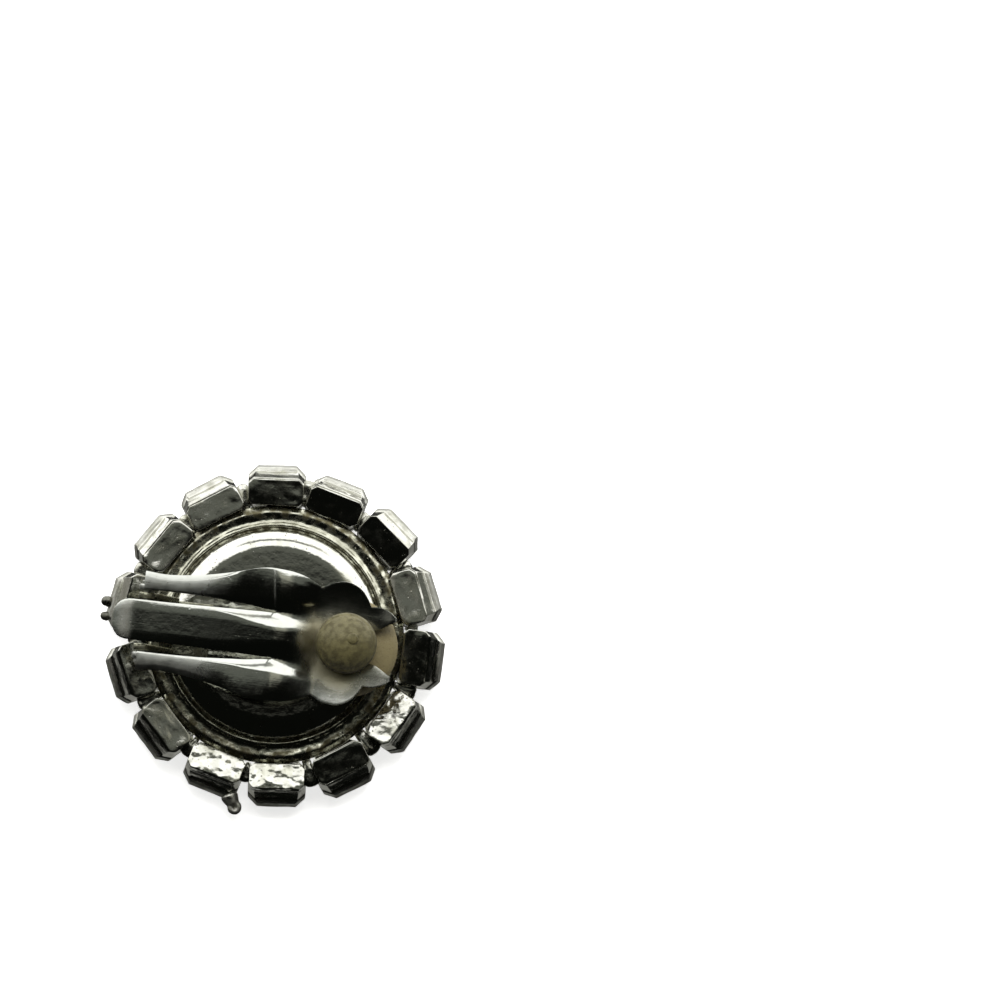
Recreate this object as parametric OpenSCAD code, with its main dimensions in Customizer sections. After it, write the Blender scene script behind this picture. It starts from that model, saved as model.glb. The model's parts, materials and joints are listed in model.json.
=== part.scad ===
// Clip-on earring: a round centre stone in a ring of fourteen cup-set stones,
// lying on its face with the back and the clip up. Millimetres.
// The front rests on z = 0, +Z points to the back and +X from the hinge to the clip's tip.

/* [Centre stone and its cup] */
// Diameter of the round centre stone
centre_d = 17.6; // [15:0.2:20]
// Width across the centre stone's table
centre_table_d = 10.4; // [8:0.2:12]
// Height of the centre stone's crown
centre_crown_h = 2.2; // [1.6:0.1:2.8]
// Thickness of the centre stone's girdle
centre_girdle_t = 0.3; // [0.2:0.05:0.6]
// Depth of the centre stone below its girdle
centre_back_h = 2.0; // [1.4:0.1:2.6]
// Sheet thickness of the centre cup
centre_wall = 0.42; // [0.3:0.02:0.6]
// Radius of the round shoulder of the centre cup
shoulder_r = 1.12; // [0.6:0.02:1.5]
// Width of a claw of the centre cup
claw_w = 1.5; // [1:0.1:2]
// Number of claws round the centre stone
claw_n = 8; // [6:1:12]

/* [Ring between the centre and the cups] */
// Width of the ring between the centre cup and the stone cups
ring_w = 1.5; // [1.2:0.05:2.5]
// Sheet thickness of the ring
ring_t = 0.55; // [0.4:0.05:0.8]
// How far the ring lies below the backs of the stone cups
ring_drop = 0.28; // [0.1:0.02:0.6]
// Height of the bead along the ring
bead_h = 0.3; // [0.2:0.02:0.6]

/* [Stone cups] */
// Number of stone cups round the edge
cup_n = 14; // [11:1:14]
// Width of a cup's floor along the circle
floor_w = 4.9; // [4:0.1:5]
// Length of a cup's floor outwards
floor_l = 2.3; // [1.8:0.1:2.8]
// Width of a cup's rim along the circle
rim_w = 5.12; // [4.8:0.02:6]
// Length of a cup's rim outwards
rim_l = 4.32; // [3.8:0.02:5]
// Corner cut of a cup's rim
rim_cut = 0.85; // [0.5:0.05:1.1]
// Corner cut of a cup's floor
floor_cut = 0.4; // [0.2:0.05:0.7]
// Depth of a cup from its floor to its rim
cup_h = 3.0; // [2.4:0.1:3.8]
// Depth at which a cup widens to its collar
collar_h = 2.0; // [1.6:0.05:2.2]
// Sheet thickness of a cup
cup_wall = 0.3; // [0.2:0.02:0.4]
// Gap between neighbouring cups at the middle of their rims
cup_gap = 0.68; // [0.5:0.02:1.5]
// Outward lean of a cup towards the front, in degrees
cup_lean = 9; // [0:1:14]
// Height of the cup stones' tables above the surface that the earring lies on
dome_step = 0.2; // [0.2:0.05:1.2]
// Height of a cup stone's crown
crown_h = 0.95; // [0.7:0.05:1.3]
// How far a prong bends in over its stone
prong_bend = 0.6; // [0.3:0.05:0.8]
// Height of a prong above the rim
prong_h = 0.62; // [0.4:0.02:0.8]
// Thickness of the metal that joins neighbouring cups
web_t = 0.9; // [0.5:0.05:1.3]

/* [Bracket] */
// Distance from the centre to the hinge pin
pivot_out = 11.3; // [10.5:0.1:13]
// Height of the hinge pin above the back of the centre cup
pivot_h = 4.3; // [3.9:0.1:5.5]
// How far the clip sits off the middle line
clip_off = -0.5; // [-1:0.05:1]
// Width of the bracket's foot
foot_w = 4.7; // [4.5:0.1:6]
// Length of the bracket's foot
foot_l = 3.6; // [3:0.05:5]
// Thickness of the bracket's foot
foot_t = 0.7; // [0.4:0.05:1]
// Thickness of the bracket's leg and ears
ear_t = 0.6; // [0.4:0.05:0.8]
// Outer radius of the ears round the pin
ear_r = 0.9; // [0.8:0.02:1.0]

/* [Hinge pin] */
// Diameter of the hinge pin
pin_d = 0.9; // [0.7:0.02:1.1]
// Diameter of the pin's heads
pin_head_d = 1.4; // [1.3:0.02:1.6]
// Length of each pin head
pin_head_l = 0.35; // [0.2:0.05:0.6]

/* [Clip lever] */
// Length of the lever from the root of its ribs to its tip
lever_reach = 22.65; // [20:0.05:26]
// How far the root of the ribs lies behind the hinge pin
root_back = 0.8; // [0.5:0.05:1.2]
// Widest width of the lever
lever_w = 11.74; // [10.5:0.02:14]
// Width of the lever's middle tongue at the hinge
tongue_w = 3.6; // [3:0.1:4]
// Width of the slot on each side of the tongue at the hinge
slot_w = 0.95; // [0.9:0.05:1.3]
// Length of the tongue's curled tail behind the pin
tail_l = 2.15; // [1.8:0.05:2.8]
// How far the curled tail ends below the pin's axis
tail_drop = 0.3; // [0:0.05:0.6]
// Sheet thickness of the lever
lever_t = 0.5; // [0.35:0.05:0.7]
// Height of the lever's arch above its height at the hinge
arch_h = 0.35; // [0:0.05:1]
// Depth of the seat for the pad below the lever's height at the hinge
seat_drop = 0.95; // [0.5:0.05:1.3]
// Height of the pressed ribs
rib_h = 0.38; // [0.1:0.02:0.6]
// Thickness of the lever's hinge tabs
tab_t = 0.5; // [0.4:0.05:0.7]

/* [Comfort pad] */
// Diameter of the pad's disc
disc_d = 8.75; // [7:0.05:10]
// Thickness of the pad's disc
disc_t = 1.9; // [1.2:0.05:2.2]
// Diameter of the pad's knob
knob_d = 5.4; // [4.2:0.05:6]
// Height of the pad's knob
knob_h = 3.7; // [2.5:0.05:4.5]
// Diameter of the neck in the lever's notch
neck_d = 2.85; // [2:0.05:3]

/* [Fits] */
// Gap round a stone in its cup
stone_fit = 0.06; // [0.04:0.01:0.1]
// Radial gap of the pin in the bracket's ears
pin_fit = 0.02; // [0.01:0.01:0.04]
// Radial gap of the lever's tabs on the pin
run_fit = 0.05; // [0.03:0.01:0.08]
// Side gap between moving hinge pieces
side_fit = 0.18; // [0.1:0.01:0.25]
// Gap between the lever and the pad
pad_fit = 0.05; // [0.04:0.01:0.1]

/* [Hidden] */
$fn = 64;
stone_name = function (k) str("stone_", k < 10 ? "0" : "", k);

METAL = "#8f9088";
LEVER_METAL = "#7c8076";
VINYL = "#b3a67c";
CRYSTAL = "#dfe4e6";

// Heights and radii of the centre cup
centre_back_z = centre_crown_h + centre_girdle_t + centre_back_h;
plateau_z = centre_back_z + stone_fit + centre_wall;
centre_in_r = centre_d / 2 + stone_fit;
centre_r = centre_in_r + centre_wall;
centre_rim_z = centre_crown_h - centre_wall / 2;
// How far a claw leans in over the stone, and how far it rises from the rim
claw_lean = 0.85;
claw_rise = 0.95;
// How deep a claw's root lies in the cup's wall, and its gap from both faces of the wall
claw_root = 0.3;
claw_side = 0.05;

// The circle of cups is as tight as the centre cup and the neighbours allow
circle_by_gap = cup_n * (rim_w + cup_gap) / (2 * PI);
circle_by_ring = centre_r + ring_w + rim_l / 2;
rim_circle_r = max(circle_by_gap, circle_by_ring);
floor_circle_r = rim_circle_r - cup_h * sin(cup_lean);
// How deep the girdle of a cup stone sits below the rim
stone_sit = 0.25;
// How far in from its girdle the stone's table starts
table_in = 0.75;
cup_front_h = cup_h + crown_h - stone_sit;
table_l = rim_l - 2 * (cup_wall + stone_fit + table_in);
cup_back_z = dome_step + cup_front_h * cos(cup_lean) + table_l / 2 * sin(cup_lean);
rim_in_r = rim_circle_r - rim_l / 2;

// Height of the outer rim of a cup, where the collar is
rim_edge_z = cup_back_z - cup_h * cos(cup_lean) + rim_l / 2 * sin(cup_lean) + (cup_h - collar_h) * 0.4;

// One row for each cup, starting beside the clip's tip and going round anticlockwise.
// turn: degrees off the even place, twist: degrees about its own axis,
// out: outward shift as a share of the rim's length,
// web: how far out the metal to the next cup reaches, as a share of the rim's length
CUP_START = 20.5;
CUPS = [
    // turn, twist, out, web
    [1.4, 1.3, -0.045, 0.65],
    [0.8, 4.0, 0.040, 0.65],
    [-0.4, 3.6, -0.008, 0.77],
    [-1.6, -2.2, 0.022, 0.68],
    [-1.7, 2.0, -0.022, 0.61],
    [-2.1, -0.5, -0.060, 0.70],
    [-1.2, -2.8, -0.018, 0.53],
    [0.2, 2.9, 0.004, 0.65],
    [0.4, -4.0, 0.000, 0.58],
    [0.3, 3.0, 0.000, 0.58],
    [-0.3, -3.0, 0.022, 0.70],
    [0.3, -0.3, 0.065, 0.68],
    [1.8, 1.1, 0.036, 0.62],
    [2.2, 2.0, 0.000, 0.43]
];
function cup_row(k) = CUPS[(k - 1) % len(CUPS)];
function cup_turn(k) = CUP_START + 360 / cup_n * (k - 1) + cup_row(k)[0];

// Heights of the clip, from the plateau up
pivot_z = plateau_z + pivot_h;
// Gap between a pin head and the lever
head_gap = 0.1;
sheet_z = pivot_z + pin_head_d / 2 + head_gap;
seat_z = sheet_z - seat_drop;
ear_in = tongue_w / 2 + side_fit;
ear_out = ear_in + ear_t;
tab_in = ear_out + side_fit;
tab_out = tab_in + tab_t;
slot_out = max(tongue_w / 2 + slot_w, tab_in);
head_in = tab_out + head_gap;
sweep_r = norm([tail_l, tail_drop]) + side_fit;

// Stations of the lever. along: share of the reach, outer: outer edge and
// slot: the slot's outer edge or rib foot, both as shares of half the width,
// tongue: the middle strip's edge as a share of the tongue's half width,
// rise: height as a share of the arch, or below zero as a share of the seat's drop,
// rib: share of the rib height
LEVER = [
    // along, outer, slot, tongue, rise, rib
    [0.016, 0.745, 0.00, 1.00, 0.05, 0.55],
    [0.110, 0.724, 0.00, 1.00, 0.60, 1.00],
    [0.247, 0.784, 0.46, 1.03, 1.00, 1.00],
    [0.371, 0.886, 0.43, 1.06, 1.00, 1.00],
    [0.437, 0.963, 0.41, 1.08, 0.80, 1.00],
    [0.494, 1.000, 0.38, 1.11, 0.66, 1.00],
    [0.534, 0.997, 0.37, 1.08, 0.54, 1.00],
    [0.587, 0.980, 0.41, 1.00, 0.03, 0.95],
    [0.634, 0.937, 0.44, 0.95, -0.35, 0.70],
    [0.675, 0.869, 0.48, 0.90, -0.75, 0.35],
    [0.700, 0.813, 0.49, 0.86, -1.00, 0.10],
    [0.720, 0.852, 0.49, 0.84, -1.00, 0.00],
    [0.746, 0.898, 0.49, 0.83, -1.00, 0.00],
    [0.799, 0.928, 0.49, 0.83, -1.00, 0.00],
    [0.848, 0.860, 0.49, 0.83, -1.00, 0.00],
    [0.872, 0.775, 0.49, 0.83, -1.00, 0.00],
    [0.901, 0.596, 0.46, 0.83, -1.00, 0.00],
    [0.923, 0.605, 0.45, 0.83, -0.95, 0.00],
    [0.945, 0.596, 0.45, 0.97, -0.90, 0.00],
    [0.980, 0.537, 0.46, 1.19, -0.75, 0.00],
    [1.000, 0.468, 0.44, 1.36, -0.65, 0.00]
];
// Where the slots end and where the pad and the notch's flare sit, as shares of the reach
SLOT_END = 0.534;
PAD_AT = 0.821;
FLARE_AT = 0.93;
flare_w = 0.97;
root_x = -pivot_out - root_back;
pad_x = root_x + PAD_AT * lever_reach;
neck_r = neck_d / 2;
notch_half = neck_r + pad_fit;
notch_end = pad_x - notch_half - pad_fit;
notch_at = (notch_end - root_x) / lever_reach;
strip_gap = 0.12;

// The curled tail, from its end to the arms' ends. back: share of its length, drop: share of the fall
TAIL = [
    // back, drop, width
    [1.00, 1.00, 0.45],
    [0.98, 0.70, 0.66],
    [0.91, 0.38, 0.84],
    [0.74, 0.13, 0.97],
    [0.42, 0.00, 1.00]
];

// A rectangle with cut corners, anticlockwise
function octagon(w, l, cut) = let (x = w / 2, y = l / 2) [
    [x, cut - y], [x, y - cut], [x - cut, y], [cut - x, y],
    [-x, y - cut], [-x, cut - y], [cut - x, -y], [x - cut, -y]
];
function at_height(points, z) = [for (p = points) [p[0], p[1], z]];
function inset_cut(cut, inset) = max(cut - inset * (2 - sqrt(2)), 0.08);
function inset_octagon(w, l, cut, inset) =
    octagon(w - 2 * inset, l - 2 * inset, inset_cut(cut, inset));
function arc(centre, r, from, to, steps) =
    [for (i = [0:steps])
        let (a = from + (to - from) * i / steps)
        [centre[0] + r * cos(a), centre[1] + r * sin(a)]];
function flatten(lists) = [for (l = lists) for (e = l) e];
function side_faces(rings, n) =
    [for (i = [0:rings - 2]) for (k = [0:n - 1])
        [i * n + k, (i + 1) * n + k, (i + 1) * n + (k + 1) % n, i * n + (k + 1) % n]];

module loft(sections) {
    n = len(sections[0]);
    last = (len(sections) - 1) * n;
    polyhedron(
        points = flatten(sections),
        faces = concat(
            [[for (k = [0:n - 1]) k]],
            [[for (k = [n - 1:-1:0]) last + k]],
            side_faces(len(sections), n)
        )
    );
}

// Sections of a cup from its back, up the outside, over the rim and down the inside
edge_round = 0.12;
collar_step = 0.12;
collar_out = 0.15;
body_w = (floor_w + rim_w) / 2;
body_l = (floor_l + rim_l) / 2;
body_cut = (floor_cut + rim_cut) / 2;
ledge_h = collar_h + collar_step;
CUP_SECTIONS = [
    at_height(inset_octagon(floor_w, floor_l, floor_cut, edge_round), 0),
    at_height(octagon(floor_w, floor_l, floor_cut), edge_round),
    at_height(octagon(body_w, body_l, body_cut), collar_h),
    at_height(octagon(rim_w - 0.02, rim_l - 2 * collar_out, rim_cut), ledge_h),
    at_height(octagon(rim_w, rim_l, rim_cut), cup_h),
    at_height(inset_octagon(rim_w, rim_l, rim_cut, cup_wall), cup_h),
    at_height(inset_octagon(rim_w, rim_l, rim_cut, cup_wall), ledge_h),
    at_height(inset_octagon(body_w, body_l, body_cut, cup_wall), collar_h),
    at_height(inset_octagon(floor_w, floor_l, floor_cut, cup_wall), cup_wall)
];
RIM_OUT = 4;
RIM_IN = 5;

// The four cut corners of the rim rise into prongs that bend over the stone
prong_taper = 0.45;
function prong_top(p, mid) =
    let (toward = -[mid[0], mid[1]] / norm([mid[0], mid[1]]))
    let (near = p + (mid - p) * prong_taper)
    [near[0] + toward[0] * prong_bend, near[1] + toward[1] * prong_bend, cup_h + prong_h];
function corner_base(k) = [
    CUP_SECTIONS[RIM_OUT][k], CUP_SECTIONS[RIM_IN][k],
    CUP_SECTIONS[RIM_IN][(k + 1) % 8], CUP_SECTIONS[RIM_OUT][(k + 1) % 8]
];
function prong_points(k) =
    let (base = corner_base(k))
    let (mid = (base[0] + base[1] + base[2] + base[3]) / 4)
    [for (p = base) prong_top(p, mid)];

module cup() {
    n = 8;
    rings = len(CUP_SECTIONS);
    body = rings * n;
    last = body - n;
    walls = [for (i = [0:rings - 2]) for (k = [0:n - 1]) if (!(i == RIM_OUT && k % 2 == 1))
        [i * n + k, (i + 1) * n + k, (i + 1) * n + (k + 1) % n, i * n + (k + 1) % n]];
    prongs = [for (j = [0:3])
        let (k = 2 * j + 1)
        let (low = [RIM_OUT * n + k, RIM_IN * n + k,
                    RIM_IN * n + (k + 1) % n, RIM_OUT * n + (k + 1) % n])
        let (top = [for (m = [0:3]) body + 4 * j + m])
        concat([top], [for (m = [0:3]) [low[m], low[(m + 1) % 4], top[(m + 1) % 4], top[m]]])];
    polyhedron(
        points = concat(flatten(CUP_SECTIONS), flatten([for (j = [0:3]) prong_points(2 * j + 1)])),
        faces = concat(
            [[for (k = [0:n - 1]) k]],
            [[for (k = [n - 1:-1:0]) last + k]],
            walls,
            flatten(prongs)
        )
    );
}

// Places a cup or its stone: the child's +Z runs from the cup's floor to the front
module in_cup(k) {
    row = cup_row(k);
    rotate([0, 0, cup_turn(k) - 90])
        translate([0, floor_circle_r + row[2] * rim_l, cup_back_z])
            rotate([0, 0, row[1]])
                rotate([180 + cup_lean, 0, 0])
                    children();
}

// The emerald-cut stone of a cup, from its keel to its table
module cup_stone(k) {
    girdle = cup_wall + stone_fit;
    girdle_h = cup_h - stone_sit;
    keel_in = floor_l * 0.36;
    keel_h = cup_wall + 0.1 * cup_h;
    rim_step = function (inset, h) at_height(inset_octagon(rim_w, rim_l, rim_cut, inset), h);
    color(CRYSTAL)
        in_cup(k)
            loft([
                at_height(inset_octagon(floor_w, floor_l, floor_cut, keel_in), keel_h),
                at_height(inset_octagon(body_w, body_l, body_cut, cup_wall + 3 * stone_fit), collar_h),
                rim_step(girdle, ledge_h + (girdle_h - ledge_h) * 0.6),
                rim_step(girdle, girdle_h),
                rim_step(girdle + table_in * 0.45, girdle_h + crown_h * 0.5),
                rim_step(girdle + table_in, girdle_h + crown_h)
            ]);
}

// The round brilliant in the middle: table, stars, kites, girdle and a shallow back
module centre_stone() {
    table_r = centre_table_d / 2;
    girdle_r = centre_d / 2;
    mid_r = table_r + (girdle_r - table_r) * 0.625;
    mid_z = centre_crown_h * (mid_r * cos(22.5) - table_r) / (girdle_r - table_r);
    table = [for (k = [0:7]) [table_r * cos(45 * k), table_r * sin(45 * k), 0]];
    mid = [for (k = [0:7]) [mid_r * cos(45 * k + 22.5), mid_r * sin(45 * k + 22.5), mid_z]];
    low = [for (k = [0:15]) [girdle_r * cos(22.5 * k), girdle_r * sin(22.5 * k), centre_crown_h]];
    high = [for (p = low) [p[0], p[1], centre_crown_h + centre_girdle_t]];
    back_r = girdle_r * 0.45;
    back = [for (k = [0:7]) [back_r * cos(45 * k), back_r * sin(45 * k), centre_back_z]];
    color(CRYSTAL)
        polyhedron(
            points = concat(table, mid, low, high, back),
            faces = concat(
                [[for (k = [0:7]) k]],
                [for (k = [0:7]) [k, 8 + k, (k + 1) % 8]],
                [for (k = [0:7]) [k, 8 + (k + 7) % 8, 16 + 2 * k]],
                [for (k = [0:7]) [k, 16 + 2 * k, 8 + k]],
                [for (k = [0:7]) [8 + k, 16 + 2 * k, 17 + 2 * k]],
                [for (k = [0:7]) [8 + k, 17 + 2 * k, 16 + (2 * k + 2) % 16]],
                [for (k = [0:15]) [16 + k, 32 + k, 32 + (k + 1) % 16, 16 + (k + 1) % 16]],
                [for (k = [0:7]) [32 + 2 * k, 48 + k, 33 + 2 * k]],
                [for (k = [0:7]) [33 + 2 * k, 48 + k, 48 + (k + 1) % 8]],
                [for (k = [0:7]) [33 + 2 * k, 48 + (k + 1) % 8, 32 + (2 * k + 2) % 16]],
                [[for (k = [7:-1:0]) 48 + k]]
            )
        );
}

// The closed cup that holds the centre stone; its back is the flat plateau
module centre_cup() {
    corner = [centre_r - shoulder_r, plateau_z - shoulder_r];
    inner_r = max(shoulder_r - centre_wall, 0.1);
    rotate_extrude()
        polygon(concat(
            [[0, plateau_z - centre_wall], [0, plateau_z]],
            arc(corner, shoulder_r, 90, 0, 8),
            [[centre_r, centre_rim_z], [centre_in_r, centre_rim_z]],
            arc(corner, inner_r, 0, 90, 5)
        ));
}

// A claw of the centre cup, bent in over the stone's crown
module claw() {
    base = centre_rim_z + claw_root;
    r_in = centre_in_r + claw_side;
    r_out = centre_r - claw_side;
    step = [
        // inner radius, outer radius, height, width
        [r_in, r_out, base, claw_w],
        [r_in, r_out, centre_rim_z, claw_w],
        [r_in - claw_lean * 0.50, r_out - claw_lean * 0.35, centre_rim_z - claw_rise * 0.55, claw_w * 0.9],
        [r_in - claw_lean * 1.00, r_out - claw_lean * 0.75, centre_rim_z - claw_rise, claw_w * 0.6]
    ];
    loft([for (s = step) [
        [s[0], -s[3] / 2, s[2]], [s[0], s[3] / 2, s[2]],
        [s[1], s[3] / 2, s[2]], [s[1], -s[3] / 2, s[2]]
    ]]);
}

// The pressed ring between the centre cup and the stone cups, with a bead along its
// middle and a flange that turns down under the cups' inner walls
flange_drop = 0.85;
flange_reach = 0.65;
module ring() {
    top = cup_back_z - ring_drop;
    start = centre_r - centre_wall / 2;
    at = function (share) centre_r + (rim_in_r - centre_r) * share;
    reach = rim_in_r + flange_reach;
    rotate_extrude()
        polygon([
            [start, top], [at(0.28), top], [at(0.37), top + bead_h * 0.7],
            [at(0.47), top + bead_h], [at(0.57), top + bead_h * 0.7], [at(0.66), top + bead_h * 0.15],
            [at(1.0), top], [at(1.15), top - flange_drop * 0.65], [reach, top - flange_drop],
            [reach, top - flange_drop - ring_t], [at(1.1), top - flange_drop * 0.7 - ring_t],
            [at(0.85), top - ring_t], [start, top - ring_t]
        ]);
}

// The rough metal that fills the gap between a cup and the next one
module web(k) {
    next = k % cup_n + 1;
    last_turn = cup_turn(next) + (next == 1 ? 360 : 0);
    half = (last_turn - cup_turn(k)) / 2;
    gap_at = function (x) (x * sin(half) - rim_w / 2) / cos(half);
    start = rim_w / 2 / sin(half);
    reach = max(rim_in_r + cup_row(k)[3] * rim_l, start + web_t / 2);
    bite = cup_wall * 0.3;
    rotate([0, 0, cup_turn(k) + half])
        translate([0, 0, cup_back_z - cup_h * 0.94])
            linear_extrude(web_t)
                polygon([
                    [start - web_t / 2, -bite], [reach, -gap_at(reach) - bite],
                    [reach, gap_at(reach) + bite], [start - web_t / 2, bite]
                ]);
}

// A prong of the tenth cup, bent right out of line and rolled up at its end, and the two
// blobs on the seventh cup's outer rim. Angles are from the cup's middle
loop_r = 0.34;
wire_r = 0.28;
loop_turn = 11;
loop_out = 0.58;
shank_r = 0.5;
shank_turn = 8.1;
shank_in = 0.15;
module stray_prong() {
    rim_r = rim_circle_r + rim_l / 2;
    from = (rim_r - shank_in) * [cos(shank_turn), sin(shank_turn)];
    to = (rim_r + loop_out) * [cos(loop_turn), sin(loop_turn)];
    way = to - from;
    rotate([0, 0, cup_turn(10)])
        translate([0, 0, rim_edge_z]) {
            translate(to)
                rotate_extrude()
                    translate([loop_r, 0])
                        circle(wire_r);
            translate(from)
                rotate([0, 0, atan2(way[1], way[0])])
                    rotate([0, 90, 0])
                        cylinder(r = shank_r, h = norm(way) - loop_r / 2);
            translate(from)
                sphere(shank_r);
        }
}
BLOBS = [
    // turn, radius
    [1.3, 0.45],
    [6.3, 0.38]
];
module rim_blobs() {
    rim_r = rim_circle_r + (0.5 + cup_row(7)[2]) * rim_l;
    for (b = BLOBS)
        rotate([0, 0, cup_turn(7) + b[0]])
            translate([rim_r + b[1] - cup_wall * 0.6, 0, rim_edge_z])
                sphere(b[1]);
}

// The soldered bracket: a square foot, a slanted leg and two ears with the pin's bores.
// The leg's top clears the curled tail of the lever's tongue
leg_angle = -62;
leg_clear = 0.15;
leg_run = 0.95;
foot_sink = 0.2;
fold_r = 0.35;
leg_r = sweep_r + leg_clear;
leg_top = [-pivot_out + leg_r * cos(leg_angle), pivot_z + leg_r * sin(leg_angle)];
fold = [leg_top[0] + leg_run, plateau_z];
module along_y(width) {
    rotate([90, 0, 0])
        linear_extrude(width, center = true)
            children();
}
module bore(r, from, to) {
    translate([-pivot_out, to, pivot_z])
        rotate([90, 0, 0])
            cylinder(r = r, h = to - from);
}
module ear(side) {
    low = side > 0 ? ear_in : -ear_out;
    way = [-pivot_out, pivot_z] - fold - [fold_r, foot_t];
    difference() {
        union() {
            bore(ear_r, low, low + ear_t);
            translate([-pivot_out, low + ear_t, pivot_z])
                rotate([90, 0, 0])
                    rotate([0, 0, atan2(way[1], way[0]) + 180])
                        translate([0, -ear_r * 0.85, 0])
                            cube([norm(way), ear_r * 1.7, ear_t]);
        }
        bore(pin_d / 2 + pin_fit, low - 1, low + ear_t + 1);
    }
}
module bracket() {
    foot_end = fold[0] + foot_l;
    along_y(foot_w)
        polygon([
            [foot_end, plateau_z - foot_sink], [foot_end, plateau_z + foot_t],
            fold + [fold_r, foot_t], leg_top + [ear_t / 2, ear_t / 4],
            leg_top - [ear_t / 3, ear_t / 3], fold + [-fold_r * 0.7, foot_t / 7],
            fold - [0, foot_sink]
        ]);
    ear(1);
    ear(-1);
}

module setting() {
    color(METAL) {
        centre_cup();
        for (k = [0:claw_n - 1]) rotate([0, 0, 360 / claw_n * (k + 0.5)]) claw();
        ring();
        for (k = [1:cup_n]) in_cup(k) cup();
        for (k = [1:cup_n]) web(k);
        stray_prong();
        rim_blobs();
        translate([0, clip_off, 0]) bracket();
    }
}

module hinge_pin() {
    end = head_in + pin_head_l;
    mid = head_in + pin_head_l / 2;
    color(LEVER_METAL)
        translate([0, clip_off, 0]) {
            bore(pin_d / 2, -mid, mid);
            bore(pin_head_d / 2, head_in, end);
            bore(pin_head_d / 2, -end, -head_in);
        }
}

// Shape of the lever's sheet. Places along it are measured from the pin
TINY = 0.0001;
function lever_col(c, share) = lookup(share, [for (r = LEVER) [r[0], r[c]]]);
function rise_at(share) =
    let (r = lever_col(4, share)) r >= 0 ? arch_h * r : seat_drop * r;
function notch_edge(share) =
    notch_half + flare_w * max((share - FLARE_AT) / (1 - FLARE_AT), 0);
function strip_edge(share) =
    share > notch_at - TINY ? notch_edge(share) : tongue_w / 2 * lever_col(3, share);
function slot_edge(share) =
    max(lever_w / 2 * lever_col(2, share), share < 0.2 ? slot_out : strip_edge(share) + strip_gap);
function outer_edge(share) = lever_w / 2 * lever_col(1, share);
// Across one side: tongue middle, quarter, edge, slot edge, side rib, outer edge
function across(share) =
    let (t = strip_edge(share), s = slot_edge(share), o = outer_edge(share))
    [0, t * 0.55, t, s, (s + o) / 2, o];
// Height of each of those places as a share of the rib, and the leaf's curled edge
RIB = [1, 0.85, 0, 0, 0.9, -0.15];
edge_curl = 0.12;
leaf_from = 0.7;

near_notch = 0.012;
STATIONS = concat(
    [for (r = LEVER) if (r[0] < notch_at - near_notch) r[0]],
    [notch_at],
    [for (r = LEVER) if (r[0] > notch_at + near_notch) r[0]]
);
notch_index = len([for (s = STATIONS) if (s < notch_at - TINY) s]);
slot_index = len([for (s = STATIONS) if (s < SLOT_END - TINY) s]);
tail_n = len(TAIL);
rows = tail_n + len(STATIONS);

// Middle line of the sheet's underside, tail first
fall = sheet_z - pivot_z + tail_drop;
arm_start = root_x + LEVER[0][0] * lever_reach;
tail_run = arm_start + pivot_out + tail_l;
LINE = concat(
    [for (t = TAIL) [arm_start - tail_run * t[0], sheet_z - fall * t[1]]],
    [for (s = STATIONS) [root_x + s * lever_reach, sheet_z + rise_at(s)]]
);
function line_step(i) = LINE[min(i + 1, rows - 1)] - LINE[max(i - 1, 0)];
function line_normal(i) = let (d = line_step(i)) [-d[1], d[0]] / norm(d);
function row_across(i) =
    i < tail_n
        ? let (t = tongue_w / 2 * TAIL[i][2]) [0, t * 0.55, t, t, t, t]
        : across(row_share(i));
function row_share(i) = i < tail_n ? -1 : STATIONS[i - tail_n];
function row_rib(i) = i < tail_n ? LEVER[0][5] * i / tail_n : lever_col(5, row_share(i));
function row_lift(i, j) =
    rib_h * row_rib(i) * RIB[j] + (j == 5 && row_share(i) > leaf_from ? edge_curl : 0);
// Point i along, j across from -5 to 5, side 0 below and 1 above
function sheet_point(i, j, side) =
    let (a = abs(j), n = line_normal(i), up = row_lift(i, a) + side * lever_t)
    [LINE[i][0] + n[0] * up, sign(j) * row_across(i)[a], LINE[i][1] + n[1] * up];

// A cell of the sheet lies between rows i and i + 1 and columns j and j + 1
function in_strip(j) = j >= -2 && j <= 1;
function in_slot(j) = j == -3 || j == 2;
function has_cell(i, j) =
    i < 0 || i > rows - 2 || j < -5 || j > 4 ? false :
    in_strip(j) ? i < tail_n + notch_index :
    i < tail_n ? false :
    in_slot(j) ? i >= tail_n + slot_index :
    true;
function used(i, j) =
    has_cell(i, j) || has_cell(i - 1, j) || has_cell(i, j - 1) || has_cell(i - 1, j - 1);
SHEET_IDS = [for (i = [0:rows - 1]) for (j = [-5:5]) if (used(i, j)) [i, j]];
half_count = len(SHEET_IDS);
// How many used points come before each point of the full grid
ORDER = [for (n = 0, count = 0;
    n < rows * 11;
    count = count + (used(floor(n / 11), n % 11 - 5) ? 1 : 0), n = n + 1) count];
function id(i, j, side) = ORDER[i * 11 + j + 5] + side * half_count;
function edge_wall(i0, j0, i1, j1) =
    [id(i0, j0, 0), id(i1, j1, 0), id(i1, j1, 1), id(i0, j0, 1)];
function cell_faces(i, j) = concat(
    [[id(i, j, 1), id(i, j + 1, 1), id(i + 1, j + 1, 1)]],
    [[id(i, j, 1), id(i + 1, j + 1, 1), id(i + 1, j, 1)]],
    [[id(i, j, 0), id(i + 1, j + 1, 0), id(i, j + 1, 0)]],
    [[id(i, j, 0), id(i + 1, j, 0), id(i + 1, j + 1, 0)]],
    has_cell(i, j - 1) ? [] : [edge_wall(i + 1, j, i, j)],
    has_cell(i, j + 1) ? [] : [edge_wall(i, j + 1, i + 1, j + 1)],
    has_cell(i - 1, j) ? [] : [edge_wall(i, j, i, j + 1)],
    has_cell(i + 1, j) ? [] : [edge_wall(i + 1, j + 1, i + 1, j)]
);
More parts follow.
